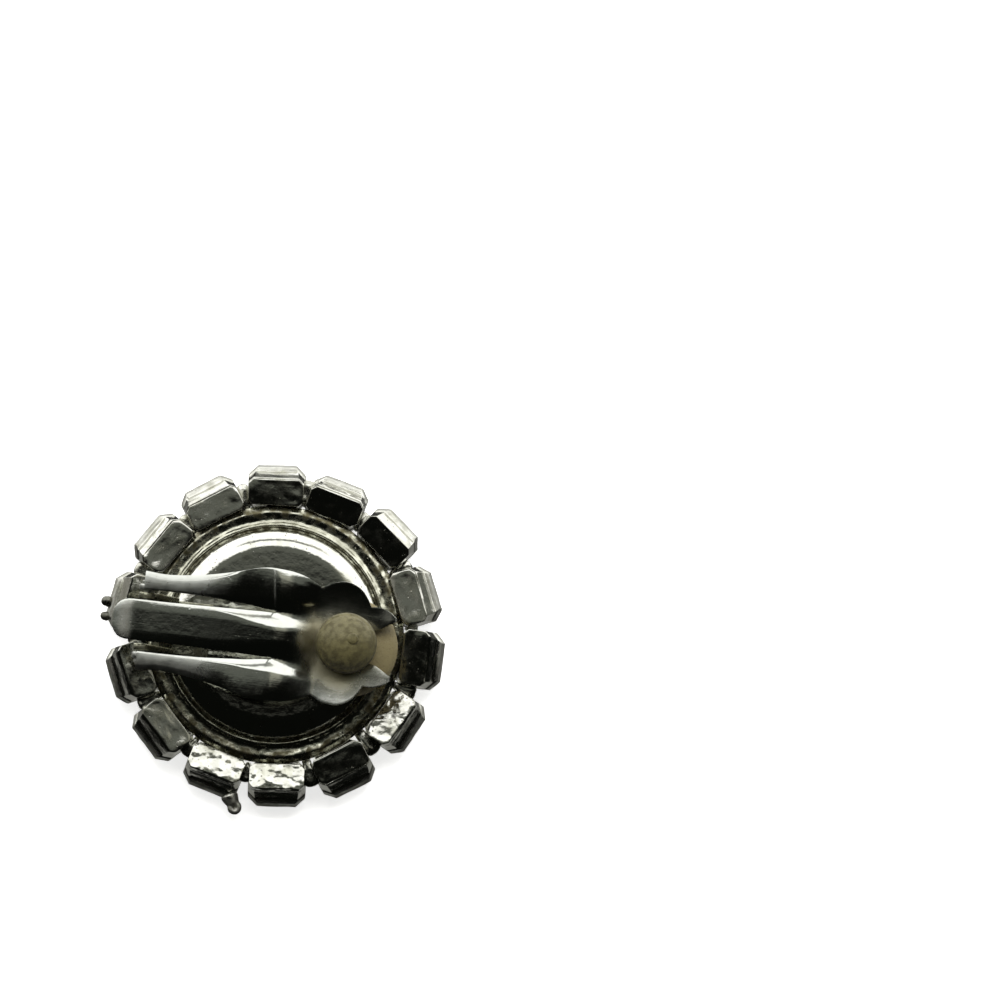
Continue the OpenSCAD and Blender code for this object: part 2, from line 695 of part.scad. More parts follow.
SHEET_FACES = flatten([for (i = [0:rows - 2]) for (j = [-5:4]) if (has_cell(i, j)) cell_faces(i, j)]);

// A tab under each arm of the lever, bored to run on the pin
module tab(side) {
    low = side > 0 ? tab_in : -tab_out;
    difference() {
        union() {
            bore(ear_r, low, low + tab_t);
            translate([arm_start, low, pivot_z])
                cube([ear_r * 1.2, tab_t, sheet_z + lever_t / 2 - pivot_z]);
        }
        bore(pin_d / 2 + run_fit, low - 1, low + tab_t + 1);
    }
}
module clip_lever() {
    color(LEVER_METAL)
        translate([0, clip_off, 0]) {
            polyhedron(
                points = concat(
                    [for (p = SHEET_IDS) sheet_point(p[0], p[1], 0)],
                    [for (p = SHEET_IDS) sheet_point(p[0], p[1], 1)]
                ),
                faces = SHEET_FACES
            );
            tab(1);
            tab(-1);
        }
}

// The moulded pad: a lens-shaped disc under the lever, a neck in its notch and a knob above
seam_out = 0.06;
lens_share = 0.62;
waist_turn = 36;
module comfort_pad() {
    disc_top = seat_z - pad_fit;
    disc_mid = disc_top - disc_t / 2;
    rim = disc_d / 2;
    lens = function (share) disc_t / 2 * (1 - lens_share * pow(share, 2.4));
    below = [0, 0.35, 0.6, 0.8, 0.92, 1];
    above = [1, 0.92, 0.8, 0.6];
    knob_low = seat_z + lever_t + pad_fit;
    knob_mid = knob_low + knob_h * 0.4;
    knob_r = knob_d / 2;
    color(VINYL)
        translate([pad_x, clip_off, 0])
            rotate_extrude()
                polygon(concat(
                    [for (s = below) [rim * s, disc_mid - lens(s)]],
                    [[rim + seam_out, disc_mid]],
                    [for (s = above) [rim * s, disc_mid + lens(s)]],
                    [[neck_r, disc_mid + lens(neck_r / rim)], [neck_r, knob_low]],
                    [for (a = [-waist_turn:12:0])
                        [knob_r * cos(a), knob_mid + (knob_mid - knob_low) * sin(a) / sin(waist_turn)]],
                    [for (a = [15:15:90])
                        [knob_r * cos(a), knob_mid + (knob_low + knob_h - knob_mid) * sin(a)]]
                ));
}

setting();
centre_stone();
for (k = [1:cup_n])
    cup_stone(k);
hinge_pin();
clip_lever();
comfort_pad();
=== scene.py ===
"""Clip-on earring lying on its face, with the clip closed. Sizes below are in millimetres."""
import json
import math
import bmesh
import bpy
from mathutils import Matrix, Vector


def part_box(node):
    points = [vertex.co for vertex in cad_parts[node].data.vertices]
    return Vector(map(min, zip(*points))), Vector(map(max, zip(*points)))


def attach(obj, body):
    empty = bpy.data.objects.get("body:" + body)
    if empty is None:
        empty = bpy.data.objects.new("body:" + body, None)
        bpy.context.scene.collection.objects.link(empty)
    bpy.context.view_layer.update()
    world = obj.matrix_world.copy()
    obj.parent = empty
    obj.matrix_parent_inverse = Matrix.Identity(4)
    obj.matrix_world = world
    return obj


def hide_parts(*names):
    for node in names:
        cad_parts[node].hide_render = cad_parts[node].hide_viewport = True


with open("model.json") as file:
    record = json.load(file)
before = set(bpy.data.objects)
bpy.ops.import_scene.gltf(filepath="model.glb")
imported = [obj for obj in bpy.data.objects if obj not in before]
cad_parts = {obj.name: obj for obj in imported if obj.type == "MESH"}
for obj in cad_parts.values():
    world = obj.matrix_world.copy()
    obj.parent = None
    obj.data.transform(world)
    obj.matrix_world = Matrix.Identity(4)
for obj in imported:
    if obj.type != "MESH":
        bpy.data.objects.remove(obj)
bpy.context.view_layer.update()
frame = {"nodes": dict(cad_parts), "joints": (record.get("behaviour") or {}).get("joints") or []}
MM = 0.001

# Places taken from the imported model
HINGE_X, CLIP_Y, HINGE_Z = [c / MM for c in frame["joints"][0]["pos_m"]]
PAD_LOW, PAD_HIGH = [[c / MM for c in corner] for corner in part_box("comfort_pad")]
STONE_HIGH = [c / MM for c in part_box("centre_stone")[1]]
PAD_X = (PAD_LOW[0] + PAD_HIGH[0]) / 2
CUP_OUT_R = STONE_HIGH[0] + 0.48
PLATEAU_Z = STONE_HIGH[2] + 0.48

# The circle of stone cups
CUP_COUNT = 14
CUP_START = 20.5
CUP_LEAN = 9
CUP_BACK_Z = 4.019
RIM_CIRCLE_R = 12.94
FLOOR_W, FLOOR_L, FLOOR_CUT = 4.9, 2.3, 0.4
RIM_W, RIM_L, RIM_CUT = 5.12, 4.32, 0.85
CUP_DEPTH, COLLAR_DEPTH, CUP_WALL = 3.0, 2.0, 0.3
FLOOR_CIRCLE_R = RIM_CIRCLE_R - CUP_DEPTH * math.sin(math.radians(CUP_LEAN))
RIM_IN_R = RIM_CIRCLE_R - RIM_L / 2
CUPS = [
    # turn, twist, out, web, floor's tilt inwards, floor's tilt sideways
    (1.4, 1.3, -0.045, 0.65, -4, 5),
    (0.8, 4.0, 0.040, 0.65, 0, 0),
    (-0.4, 3.6, -0.008, 0.77, 0, 0),
    (-1.6, -2.2, 0.022, 0.68, -8, 0),
    (-1.7, 2.0, -0.022, 0.61, -12, 0),
    (-2.1, -0.5, -0.060, 0.70, -13, 0),
    (-1.2, -2.8, -0.018, 0.53, 0, 0),
    (0.2, 2.9, 0.004, 0.65, -4, 0),
    (0.4, -4.0, 0.000, 0.58, -4, 0),
    (0.3, 3.0, 0.000, 0.58, 2, 0),
    (-0.3, -3.0, 0.022, 0.70, 1, 0),
    (0.3, -0.3, 0.065, 0.68, -12, 0),
    (1.8, 1.1, 0.036, 0.62, 0, 5),
    (2.2, 2.0, 0.000, 0.43, -6, -2),
]
CUP_LOOKS = {2: "lumpy", 9: "dimpled", 10: "dimpled", 12: "scuffed"}

# The lever, measured from the root of its ribs and from its own middle line
ROOT_X = HINGE_X - 0.8
SHEET_Z = 10.08
SHEET_T = 0.5
ARM_START = 0.36
LEVER_RISE = [
    # along, height above the sheet's height at the root
    (0.36, 0.10), (2.49, 0.21), (5.59, 0.35), (8.4, 0.33), (9.9, 0.28), (11.19, 0.23), (12.15, 0.19),
    (13.3, 0.01), (14.36, -0.33), (15.29, -0.71), (15.86, -0.95), (20.41, -0.95), (20.91, -0.9),
    (21.4, -0.855), (22.2, -0.71), (22.65, -0.62),
]
LEVER_OUTLINE = [
    # along, half width
    (0.36, 4.38), (2.49, 4.25), (5.59, 4.60), (8.4, 5.20), (9.9, 5.65), (11.19, 5.87),
    (12.15, 5.85), (13.3, 5.75), (14.36, 5.50), (15.29, 5.10), (15.86, 4.77), (16.31, 5.00), (16.9, 5.27),
    (18.1, 5.45), (19.21, 5.05), (19.9, 4.40), (20.41, 3.50), (20.91, 3.55), (21.4, 3.50), (22.2, 3.15),
    (22.65, 2.75),
]
CREASE, CUSPS = 12.15, (15.86, 20.41)
LEVER_RIBS = [
    # along, tongue edge, slot edge, tongue flank, drop, inner flank, drop, outer flank, drop, rib, dish
    (0.36, 1.80, 2.76, 0.12, 0.06, 0.12, 0.06, 0.42, 0.18, 0.32, 0),
    (2.49, 1.80, 2.76, 0.13, 0.08, 0.13, 0.08, 0.45, 0.22, 0.38, 0),
    (5.59, 1.85, 2.70, 0.18, 0.12, 0.22, 0.14, 0.45, 0.20, 0.38, 0),
    (7.60, 1.89, 2.58, 0.38, 0.20, 0.38, 0.22, 0.30, 0.12, 0.38, 0),
    (8.60, 1.92, 2.50, 0.55, 0.26, 0.48, 0.28, 0.20, 0.01, 0.38, 0),
    (9.90, 1.94, 2.41, 0.85, 0.34, 0.70, 0.34, 0.20, 0.00, 0.38, 0),
    (11.19, 1.97, 2.23, 1.10, 0.38, 0.95, 0.38, 0.35, 0.03, 0.38, 0),
    (12.10, 1.94, 2.17, 1.20, 0.38, 1.05, 0.38, 0.70, 0.08, 0.38, 0),
    (12.50, 1.91, 2.22, 1.18, 0.38, 1.04, 0.37, 0.75, 0.13, 0.38, 0),
    (13.30, 1.80, 2.41, 1.10, 0.34, 1.00, 0.34, 0.90, 0.14, 0.36, 0),
    (14.36, 1.71, 2.58, 1.00, 0.25, 0.90, 0.25, 0.90, 0.10, 0.27, 0.02),
    (15.29, 1.62, 2.82, 0.90, 0.12, 0.80, 0.12, 0.80, 0.02, 0.13, 0.08),
    (15.86, 1.55, 2.88, 0.80, 0.04, 0.70, 0.04, 0.70, 0.00, 0.04, 0.08),
    (16.90, 1.50, 2.88, 0.60, 0.00, 0.60, 0.00, 0.60, 0.00, 0.00, 0.16),
    (18.10, 1.48, 2.88, 0.60, 0.00, 0.60, 0.00, 0.60, 0.00, 0.00, 0.20),
    (20.41, 1.48, 2.70, 0.60, 0.00, 0.40, 0.00, 0.30, 0.00, 0.00, 0.20),
    (21.06, 1.48, 2.64, 0.60, 0.00, 0.30, 0.00, 0.30, 0.00, 0.00, 0.20),
    (22.65, 2.44, 2.60, 0.60, 0.00, 0.05, 0.00, 0.05, 0.00, 0.00, 0.20),
]
NOTCH_AT = 17.07
TAIL = [
    # back from the root, drop below the sheet, share of the tongue's width
    (2.25, 1.30, 0.14), (2.20, 1.10, 0.28), (2.06, 0.84, 0.47), (1.86, 0.60, 0.67), (1.60, 0.41, 0.83),
    (1.25, 0.24, 0.94), (0.85, 0.11, 0.99), (0.42, 0.03, 1.00), (0.00, 0.00, 1.00),
]

# The photograph's view
PIXELS_PER_MM = 11.3
RING_CENTRE_PX = (275, 635.5)
FRAME_PX = 1000
CAMERA_TURN = -6.5
CAMERA_TILT = 3.9
LENS_MM, SENSOR_MM = 600, 36


# Shader nodes

def node(tree, kind, inputs=None, **settings):
    """Adds a shader node. An input is a value or another node's output."""
    made = tree.nodes.new("ShaderNode" + kind)
    for key, value in settings.items():
        setattr(made, key, value)
    for key, value in (inputs or {}).items():
        if isinstance(value, bpy.types.NodeSocket):
            tree.links.new(value, made.inputs[key])
        else:
            made.inputs[key].default_value = value
    return made


def calc(tree, operation, *values):
    """One step of arithmetic on numbers and outputs."""
    return node(tree, "Math", dict(enumerate(values)), operation=operation).outputs[0]


def times(tree, first, second):
    return calc(tree, "MULTIPLY", first, second)


def ramp(tree, value, low, high, start=0, end=1):
    """Goes softly from one number to another while a value goes from low to high."""
    inputs = {0: value, 1: low, 2: high, 3: start, 4: end}
    return node(tree, "MapRange", inputs, interpolation_type="SMOOTHSTEP").outputs[0]


def between(tree, value, start, full, until, end):
    """Is 1 along one stretch of a value and fades out on both sides of it."""
    return times(tree, ramp(tree, value, start, full), ramp(tree, value, until, end, 1, 0))


def mix_colours(tree, factor, first, second):
    return node(tree, "Mix", {0: factor, 6: first, 7: second}, data_type="RGBA").outputs[2]


def noise(tree, place, lumps_per_mm, detail=2, stretch=(1, 1, 1)):
    moved = node(tree, "Mapping", {"Vector": place, "Scale": stretch}).outputs[0]
    inputs = {"Vector": moved, "Scale": lumps_per_mm / MM, "Detail": detail}
    return node(tree, "TexNoise", inputs).outputs["Fac"]


def height_of(tree, place):
    return node(tree, "SeparateXYZ", {"Vector": place}).outputs["Z"]


def distance_from(tree, place, x=0, y=0):
    """Distance from the upright line through a point."""
    centre = (x * MM, y * MM, 0)
    moved = node(tree, "VectorMath", {0: place, 1: centre}, operation="SUBTRACT").outputs["Vector"]
    flat = node(tree, "VectorMath", {0: moved, 1: (1, 1, 0)}, operation="MULTIPLY").outputs["Vector"]
    return node(tree, "VectorMath", {0: flat}, operation="LENGTH").outputs["Value"]


# Camera, floor and light

def view_directions():
    """The photograph's right and up directions on the floor."""
    turn = Matrix.Rotation(math.radians(-CAMERA_TURN), 3, "Z")
    return turn @ Vector((1, 0, 0)), turn @ Vector((0, 1, 0))


def make_camera():
    """Looks almost straight down from far off, so that the ring lies where the photograph has it."""
    right, up = view_directions()
    zenith = Vector((0, 0, 1))
    tilt = math.radians(CAMERA_TILT)
    back = zenith * math.cos(tilt) - up * math.sin(tilt)
    screen_up = up * math.cos(tilt) + zenith * math.sin(tilt)
    across = (FRAME_PX / 2 - RING_CENTRE_PX[0]) / PIXELS_PER_MM
    above = (RING_CENTRE_PX[1] - FRAME_PX / 2) / PIXELS_PER_MM
    ring_middle = Vector((0, 0, CUP_BACK_Z / 2))
    away = FRAME_PX / PIXELS_PER_MM * LENS_MM / SENSOR_MM
    place = ring_middle + right * across + screen_up * above + back * away
    camera = bpy.data.objects.new("camera", bpy.data.cameras.new("camera"))
    camera.data.lens = LENS_MM
    camera.data.sensor_width = SENSOR_MM
    camera.data.clip_start = 0.01
    camera.data.clip_end = 10
    rotation = Matrix((right, screen_up, back)).transposed()
    camera.matrix_world = Matrix.Translation(place * MM) @ rotation.to_4x4()
    bpy.context.scene.collection.objects.link(camera)
    bpy.context.scene.camera = camera


def make_key_light():
    """A large soft light beyond the photograph's top edge."""
    right, up = view_directions()
    place = right * 40 + up * 330 + Vector((0, 0, 400))
    data = bpy.data.lights.new("key_softbox", "AREA")
    data.shape = "RECTANGLE"
    data.size, data.size_y = 420 * MM, 260 * MM
    data.energy = 3
    light = bpy.data.objects.new("key_softbox", data)
    light.matrix_world = Matrix.Translation(place * MM) @ place.to_track_quat("Z", "Y").to_matrix().to_4x4()
    light.visible_glossy = False
    bpy.context.scene.collection.objects.link(light)


def make_studio():
    """The room that the metal mirrors: a wall of white cloth beyond the top edge, dark on the near side."""
    right, up = view_directions()
    world = bpy.data.worlds.new("studio")
    bpy.context.scene.world = world
    world.use_nodes = True
    tree = world.node_tree
    place = node(tree, "TexCoord").outputs["Generated"]

    def towards(direction):
        return node(tree, "VectorMath", {0: place, 1: direction}, operation="DOT_PRODUCT").outputs["Value"]

    to_top = towards(up)
    to_left = towards(-right)
    to_sky = towards((0, 0, 1))

    dark_side, grey_sky = (0.004, 0.0045, 0.0035, 1), (0.172, 0.18, 0.155, 1)
    colour = mix_colours(tree, ramp(tree, to_top, 0.035, 0.16), dark_side, grey_sky)
    left_card = times(tree, between(tree, to_left, 0.2, 0.5, 0.7, 0.95), ramp(tree, to_top, -0.15, 0.25))
    colour = mix_colours(tree, left_card, colour, (0.37, 0.36, 0.32, 1))
    right_card = times(tree, between(tree, to_left, -0.6, -0.42, -0.26, -0.14), ramp(tree, to_top, 0, 0.2))
    colour = mix_colours(tree, right_card, colour, (0.55, 0.54, 0.45, 1))
    strip_height = between(tree, to_top, 0, 0.016, 0.04, 0.055)
    faint_strip = times(tree, strip_height, between(tree, to_left, -0.03, -0.01, 0.04, 0.06))
    colour = mix_colours(tree, faint_strip, colour, (0.045, 0.046, 0.04, 1))
    seam_height = between(tree, to_top, 0.59, 0.63, 0.69, 0.73)
    seam = times(tree, seam_height, between(tree, to_left, -0.4, -0.3, 0.2, 0.3))
    cloth = calc(tree, "SUBTRACT", 1, times(tree, seam, 0.9))
    wall = times(tree, ramp(tree, to_top, 0.28, 0.35), cloth)
    colour = mix_colours(tree, wall, colour, (2.1, 2.1, 2.05, 1))
    near_ground, far_ground = (0.3, 0.3, 0.28, 1), (0.06, 0.06, 0.055, 1)
    ground = mix_colours(tree, ramp(tree, to_top, -0.1, 0.4), near_ground, far_ground)
    level = calc(tree, "SUBTRACT", to_sky, ramp(tree, to_top, -0.3, 0.3, 0.07, 0))
    colour = mix_colours(tree, ramp(tree, level, -0.79, -0.74, 1, 0), colour, ground)
    camera_ray = node(tree, "LightPath").outputs["Is Camera Ray"]
    backdrop = (0.95, 0.95, 0.945, 1)
    colour = mix_colours(tree, camera_ray, colour, backdrop)
    tree.links.new(colour, tree.nodes["Background"].inputs["Color"])


def make_floor():
    """A pale floor, set down a hair under the stone's table, and brightened for the camera."""
    size, drop, glow = 4000, 0.02, 0.75
    deselect_all()
    bpy.ops.mesh.primitive_plane_add(size=size * MM, location=(0, 0, -drop * MM))
    floor = bpy.context.active_object
    floor.name = "floor"
    material, tree, shader = new_material("pale_floor")
    shader.inputs["Base Color"].default_value = (0.9, 0.9, 0.89, 1)
    shader.inputs["Roughness"].default_value = 0.9
    shader.inputs["Emission Color"].default_value = (1, 1, 0.99, 1)
    camera_ray = node(tree, "LightPath").outputs["Is Camera Ray"]
    tree.links.new(times(tree, camera_ray, glow), shader.inputs["Emission Strength"])
    floor.data.materials.append(material)
    floor.visible_glossy = False


# Modelling tools

def deselect_all():
    if bpy.context.mode != "OBJECT":
        bpy.ops.object.mode_set(mode="OBJECT")
    bpy.ops.object.select_all(action="DESELECT")


def activate(piece):
    deselect_all()
    piece.select_set(True)
    bpy.context.view_layer.objects.active = piece


def edit_mesh():
    return bmesh.from_edit_mesh(bpy.context.active_object.data)


def select_where(test, kind="verts"):
    """Selects the vertices, edges or faces in edit mode that pass a test."""
    bpy.ops.mesh.select_mode(type={"verts": "VERT", "edges": "EDGE", "faces": "FACE"}[kind])
    bpy.ops.mesh.select_all(action="DESELECT")
    edit = edit_mesh()
    found = [part for part in getattr(edit, kind) if test(part)]
    for part in found:
        part.select_set(True)
    edit.select_flush_mode()
    bmesh.update_edit_mesh(bpy.context.active_object.data)
    return len(found)


def start_editing():
    bpy.ops.object.transform_apply(location=True, rotation=True, scale=True)
    bpy.ops.object.mode_set(mode="EDIT")


def move(x=0, y=0, z=0):
    bpy.ops.transform.translate(value=(x * MM, y * MM, z * MM))


def resize(x=1, y=1, z=1, about=(0, 0, 0)):
    bpy.ops.transform.resize(value=(x, y, z), center_override=[c * MM for c in about])


def rotate(degrees, axis, about=(0, 0, 0)):
    """Turns what is selected anticlockwise, as seen from the axis's positive end."""
    bpy.ops.transform.rotate(
        value=-math.radians(degrees), orient_axis=axis, center_override=[c * MM for c in about]
    )


def finish_piece(name, shade_angle=None):
    """Closes the shape, points its faces outwards and puts its object at the origin."""
    if bpy.context.mode != "OBJECT":
        bpy.ops.object.mode_set(mode="OBJECT")
    piece = bpy.context.active_object
    piece.name = piece.data.name = name
    bpy.ops.object.transform_apply(location=True, rotation=True, scale=True)
    bpy.ops.object.mode_set(mode="EDIT")
    bpy.ops.mesh.select_all(action="SELECT")
    bpy.ops.mesh.remove_doubles(threshold=0.002 * MM)
    bpy.ops.mesh.normals_make_consistent(inside=False)
    bpy.ops.object.mode_set(mode="OBJECT")
    if shade_angle is None:
        bpy.ops.object.shade_smooth()
    else:
        bpy.ops.object.shade_smooth_by_angle(angle=math.radians(shade_angle))
    return piece


def join(parts, name):
    activate(parts[0])
    for part in parts:
        part.select_set(True)
    bpy.ops.object.join()
    joined = bpy.context.active_object
    joined.name = joined.data.name = name
    return joined


def copy_of(piece):
    """A copy with its own mesh."""
    twin = piece.copy()
    twin.data = piece.data.copy()
    bpy.context.scene.collection.objects.link(twin)
    return twin


def apply_modifier(piece, kind, **values):
    """Adds one modifier with these values and applies it."""
    activate(piece)
    modifier = piece.modifiers.new(kind.lower(), kind)
    for key, value in values.items():
        setattr(modifier, key, value)
    bpy.ops.object.modifier_apply(modifier=modifier.name)


def smooth_out(piece, levels):
    apply_modifier(piece, "SUBSURF", levels=levels, render_levels=levels)


def soften_edges(piece, width, segments=2, angle=30):
    apply_modifier(
        piece, "BEVEL", width=width * MM, segments=segments,
        limit_method="ANGLE", angle_limit=math.radians(angle),
    )


def waves(name, size, depth=1):
    """A cloud pattern whose lumps are about this many millimetres across."""
    texture = bpy.data.textures.new(name, "CLOUDS")
    texture.noise_scale = size * MM
    texture.noise_depth = depth
    return texture


def dent(piece, texture, strength):
    apply_modifier(
        piece, "DISPLACE", texture=texture, texture_coords="GLOBAL", strength=strength * MM, mid_level=0.5
    )


def resize_whole(piece, share):
    activate(piece)
    bpy.ops.object.mode_set(mode="EDIT")
    bpy.ops.mesh.select_all(action="SELECT")
    resize(share, share, share)
    bpy.ops.object.mode_set(mode="OBJECT")


def melt_together(piece, grain):
    """Fuses overlapping shapes into one skin, at ten times the size so that its grain can be finer."""
    resize_whole(piece, 10)
    apply_modifier(piece, "REMESH", mode="VOXEL", voxel_size=grain * 10 * MM)
    resize_whole(piece, 0.1)


def extrude_to(points, radius, height):
    """Carries the selected circle of edges through (radius, height) points."""
    for next_radius, next_height in points:
        bpy.ops.mesh.extrude_edges_move()
        if next_radius == 0:
            move(z=next_height - height)
            bpy.ops.mesh.merge(type="CENTER")
            return
        share = next_radius / radius
        resize(share, share, 1, about=(0, 0, height))
        move(z=next_height - height)
        radius, height = next_radius, next_height


def turned(name, profile, steps):
    """Turns (radius, height) points round Z. A profile that starts on the axis starts with a closed tip."""
    deselect_all()
    on_axis = profile[0][0] == 0
    radius, height = profile[1] if on_axis else profile[0]
    bpy.ops.mesh.primitive_circle_add(
        vertices=steps, radius=radius * MM, location=(0, 0, height * MM),
        fill_type="TRIFAN" if on_axis else "NOTHING",
    )
    start_editing()
    bpy.ops.mesh.select_all(action="SELECT")
    if on_axis:
        select_where(lambda v: v.co.xy.length < 0.5 * radius * MM)
        move(z=profile[0][1] - height)
        select_where(lambda v: v.co.xy.length > 0.5 * radius * MM)
    extrude_to(profile[2 if on_axis else 1:], radius, height)
    return finish_piece(name)


def arc(centre, radius, start, end, steps):
    turns = [math.radians(start + (end - start) * i / steps) for i in range(steps + 1)]
    return [(centre[0] + radius * math.cos(t), centre[1] + radius * math.sin(t)) for t in turns]


def smooth_value(table, at, column=1, breaks=()):
    """Reads a smooth curve through a table's column. The curve may have a corner at a break."""
    places = [row[0] for row in table]
    at = min(max(at, places[0]), places[-1])
    i = max(k for k in range(len(table) - 1) if places[k] <= at)
    step = places[i + 1] - places[i]

    def slope(k):
        low = k if k == 0 or (places[k] in breaks and k == i) else k - 1
        high = k if k == len(table) - 1 or (places[k] in breaks and k == i + 1) else k + 1
        return (table[high][column] - table[low][column]) / (places[high] - places[low]) * step

    t = (at - places[i]) / step
    first = table[i][column] * (1 + 2 * t) * (1 - t) ** 2 + slope(i) * t * (1 - t) ** 2
    return first + table[i + 1][column] * t * t * (3 - 2 * t) - slope(i + 1) * t * t * (1 - t)


# The centre cup and the ring round it

def make_centre_cup():
    """The closed cup of the centre stone, with its flat polished back, a little domed near its edge."""
    wall, rim_z, dome = 0.42, 1.99, 0.002
    shoulder_r, shoulder_h, inner_bend = 1.9, 1.1, 0.7
    flat = [(r, PLATEAU_Z - dome * r * r) for r in (0, 1, 2, 3, 4, 5, 6, 6.8, 7.25)]
    corner = (CUP_OUT_R - shoulder_r, flat[-1][1] - shoulder_h)
    outside = [
        (corner[0] + shoulder_r * x, corner[1] + shoulder_h * z) for x, z in arc((0, 0), 1, 84, 0, 16)
    ]
    wall_down = [
        (CUP_OUT_R, 3.2), (CUP_OUT_R, 2.4), (CUP_OUT_R - 0.03, rim_z + 0.04), (CUP_OUT_R - 0.1, rim_z),
    ]
    inner_r, inside = CUP_OUT_R - wall, PLATEAU_Z - wall
    wall_up = [(inner_r + 0.08, rim_z), (inner_r, rim_z + 0.06), (inner_r, 3.2)]
    back_in = arc((inner_r - inner_bend, inside - inner_bend), inner_bend, 0, 90, 5)
    profile = flat + outside + wall_down + wall_up + back_in + [(5, inside), (0, inside)]
    cup = turned("centre_cup", profile, 144)
    dent(cup, waves("plateau_waves", 5.5, 0), 0.035)
    return cup


def make_claws():
    """Eight claws that bend in over the centre stone."""
    count, width, thickness = 8, 1.5, 0.34
    root_r, root_z = CUP_OUT_R - 0.21, 2.29
    bends = ((0, 0.35, 1), (0.12, 0.3, 0.98), (0.3, 0.27, 0.9), (0.38, 0.2, 0.68))
    deselect_all()
    bpy.ops.mesh.primitive_plane_add(size=MM, location=(root_r * MM, 0, root_z * MM))
    start_editing()
    resize(thickness, width, 1, about=(root_r, 0, 0))
    for inwards, down, share in bends:
        bpy.ops.mesh.extrude_region_move()
        move(x=-inwards, z=-down)
        resize(1, share, 1)
    claw = finish_piece("claw")
    soften_edges(claw, 0.07, 2, 40)
    smooth_out(claw, 1)
    claws = []
    for k in range(count):
        twin = copy_of(claw)
        activate(twin)
        bpy.ops.object.mode_set(mode="EDIT")
        bpy.ops.mesh.select_all(action="SELECT")
        rotate(360 / count * (k + 0.5), "Z")
        bpy.ops.object.mode_set(mode="OBJECT")
        claws.append(twin)
    bpy.data.objects.remove(claw)
    return join(claws, "claws")


def make_ring():
    """The pressed ring between the centre cup and the stone cups, with its uneven ridge."""
    top = CUP_BACK_Z - 0.28
    start = CUP_OUT_R - 0.1
    section = [
        # radius, height over the ring's flat part
        (start, -0.25), (start, -0.08), (9.27, -0.06), (9.38, -0.02), (9.44, 0.02), (9.52, 0.16),
        (9.6, 0.25), (9.68, 0.28), (9.78, 0.24), (9.9, 0.12), (10.0, 0.02), (10.14, -0.02),
        (10.4, -0.01), (10.65, 0.03), (10.82, 0.05), (10.92, 0.01), (11.1, -0.14), (11.45, -0.32),
        (11.45, -0.9), (10.9, -1.15), (10.5, -0.55), (start, -0.55), (start, -0.25),
    ]
    ring = turned("cup_ring", [(radius, top + above) for radius, above in section], 220)
    smooth_out(ring, 1)
    dent(ring, waves("ring_waves", 1.7, 0), 0.1)
    dent(ring, waves("ring_lumps", 0.55, 1), 0.07)
    return ring


# The stone cups

def cup_matrix(k):
    """Places a cup that was modelled at the origin, floor down, in the ring."""
    turn, twist, out = CUPS[k][:3]
    angle = CUP_START + 360 / CUP_COUNT * k + turn - 90
    place = Vector((0, FLOOR_CIRCLE_R + out * RIM_L, CUP_BACK_Z)) * MM
    return (
        Matrix.Rotation(math.radians(angle), 4, "Z")
        @ Matrix.Translation(place)
        @ Matrix.Rotation(math.radians(twist), 4, "Z")
        @ Matrix.Rotation(math.radians(180 + CUP_LEAN), 4, "X")
    )


def next_section(old, new):
    """Extrudes the selected face from one rectangle with cut corners to the next."""
    bpy.ops.mesh.extrude_region_move()
    resize(new[0] / old[0], new[1] / old[1], 1)
    move(z=new[3] - old[3])
    ring = [v.index for v in edit_mesh().verts if v.select]
    near = 0.002 * MM
    for across in (0, 1):
        half = new[across] / 2 * MM
        straight = (new[1 - across] / 2 - new[2]) * MM
        select_where(lambda v: v.index in ring and abs(abs(v.co[across]) - half) < near)
        share = straight / max(abs(v.co[1 - across]) for v in edit_mesh().verts if v.select)
        resize(share if across else 1, 1 if across else share, 1)
    select_where(lambda f: all(v.index in ring for v in f.verts), "faces")


def inset_section(section, inset, height):
    width, length, cut, _ = section
    return (width - 2 * inset, length - 2 * inset, max(cut - inset * 0.59, 0.08), height)


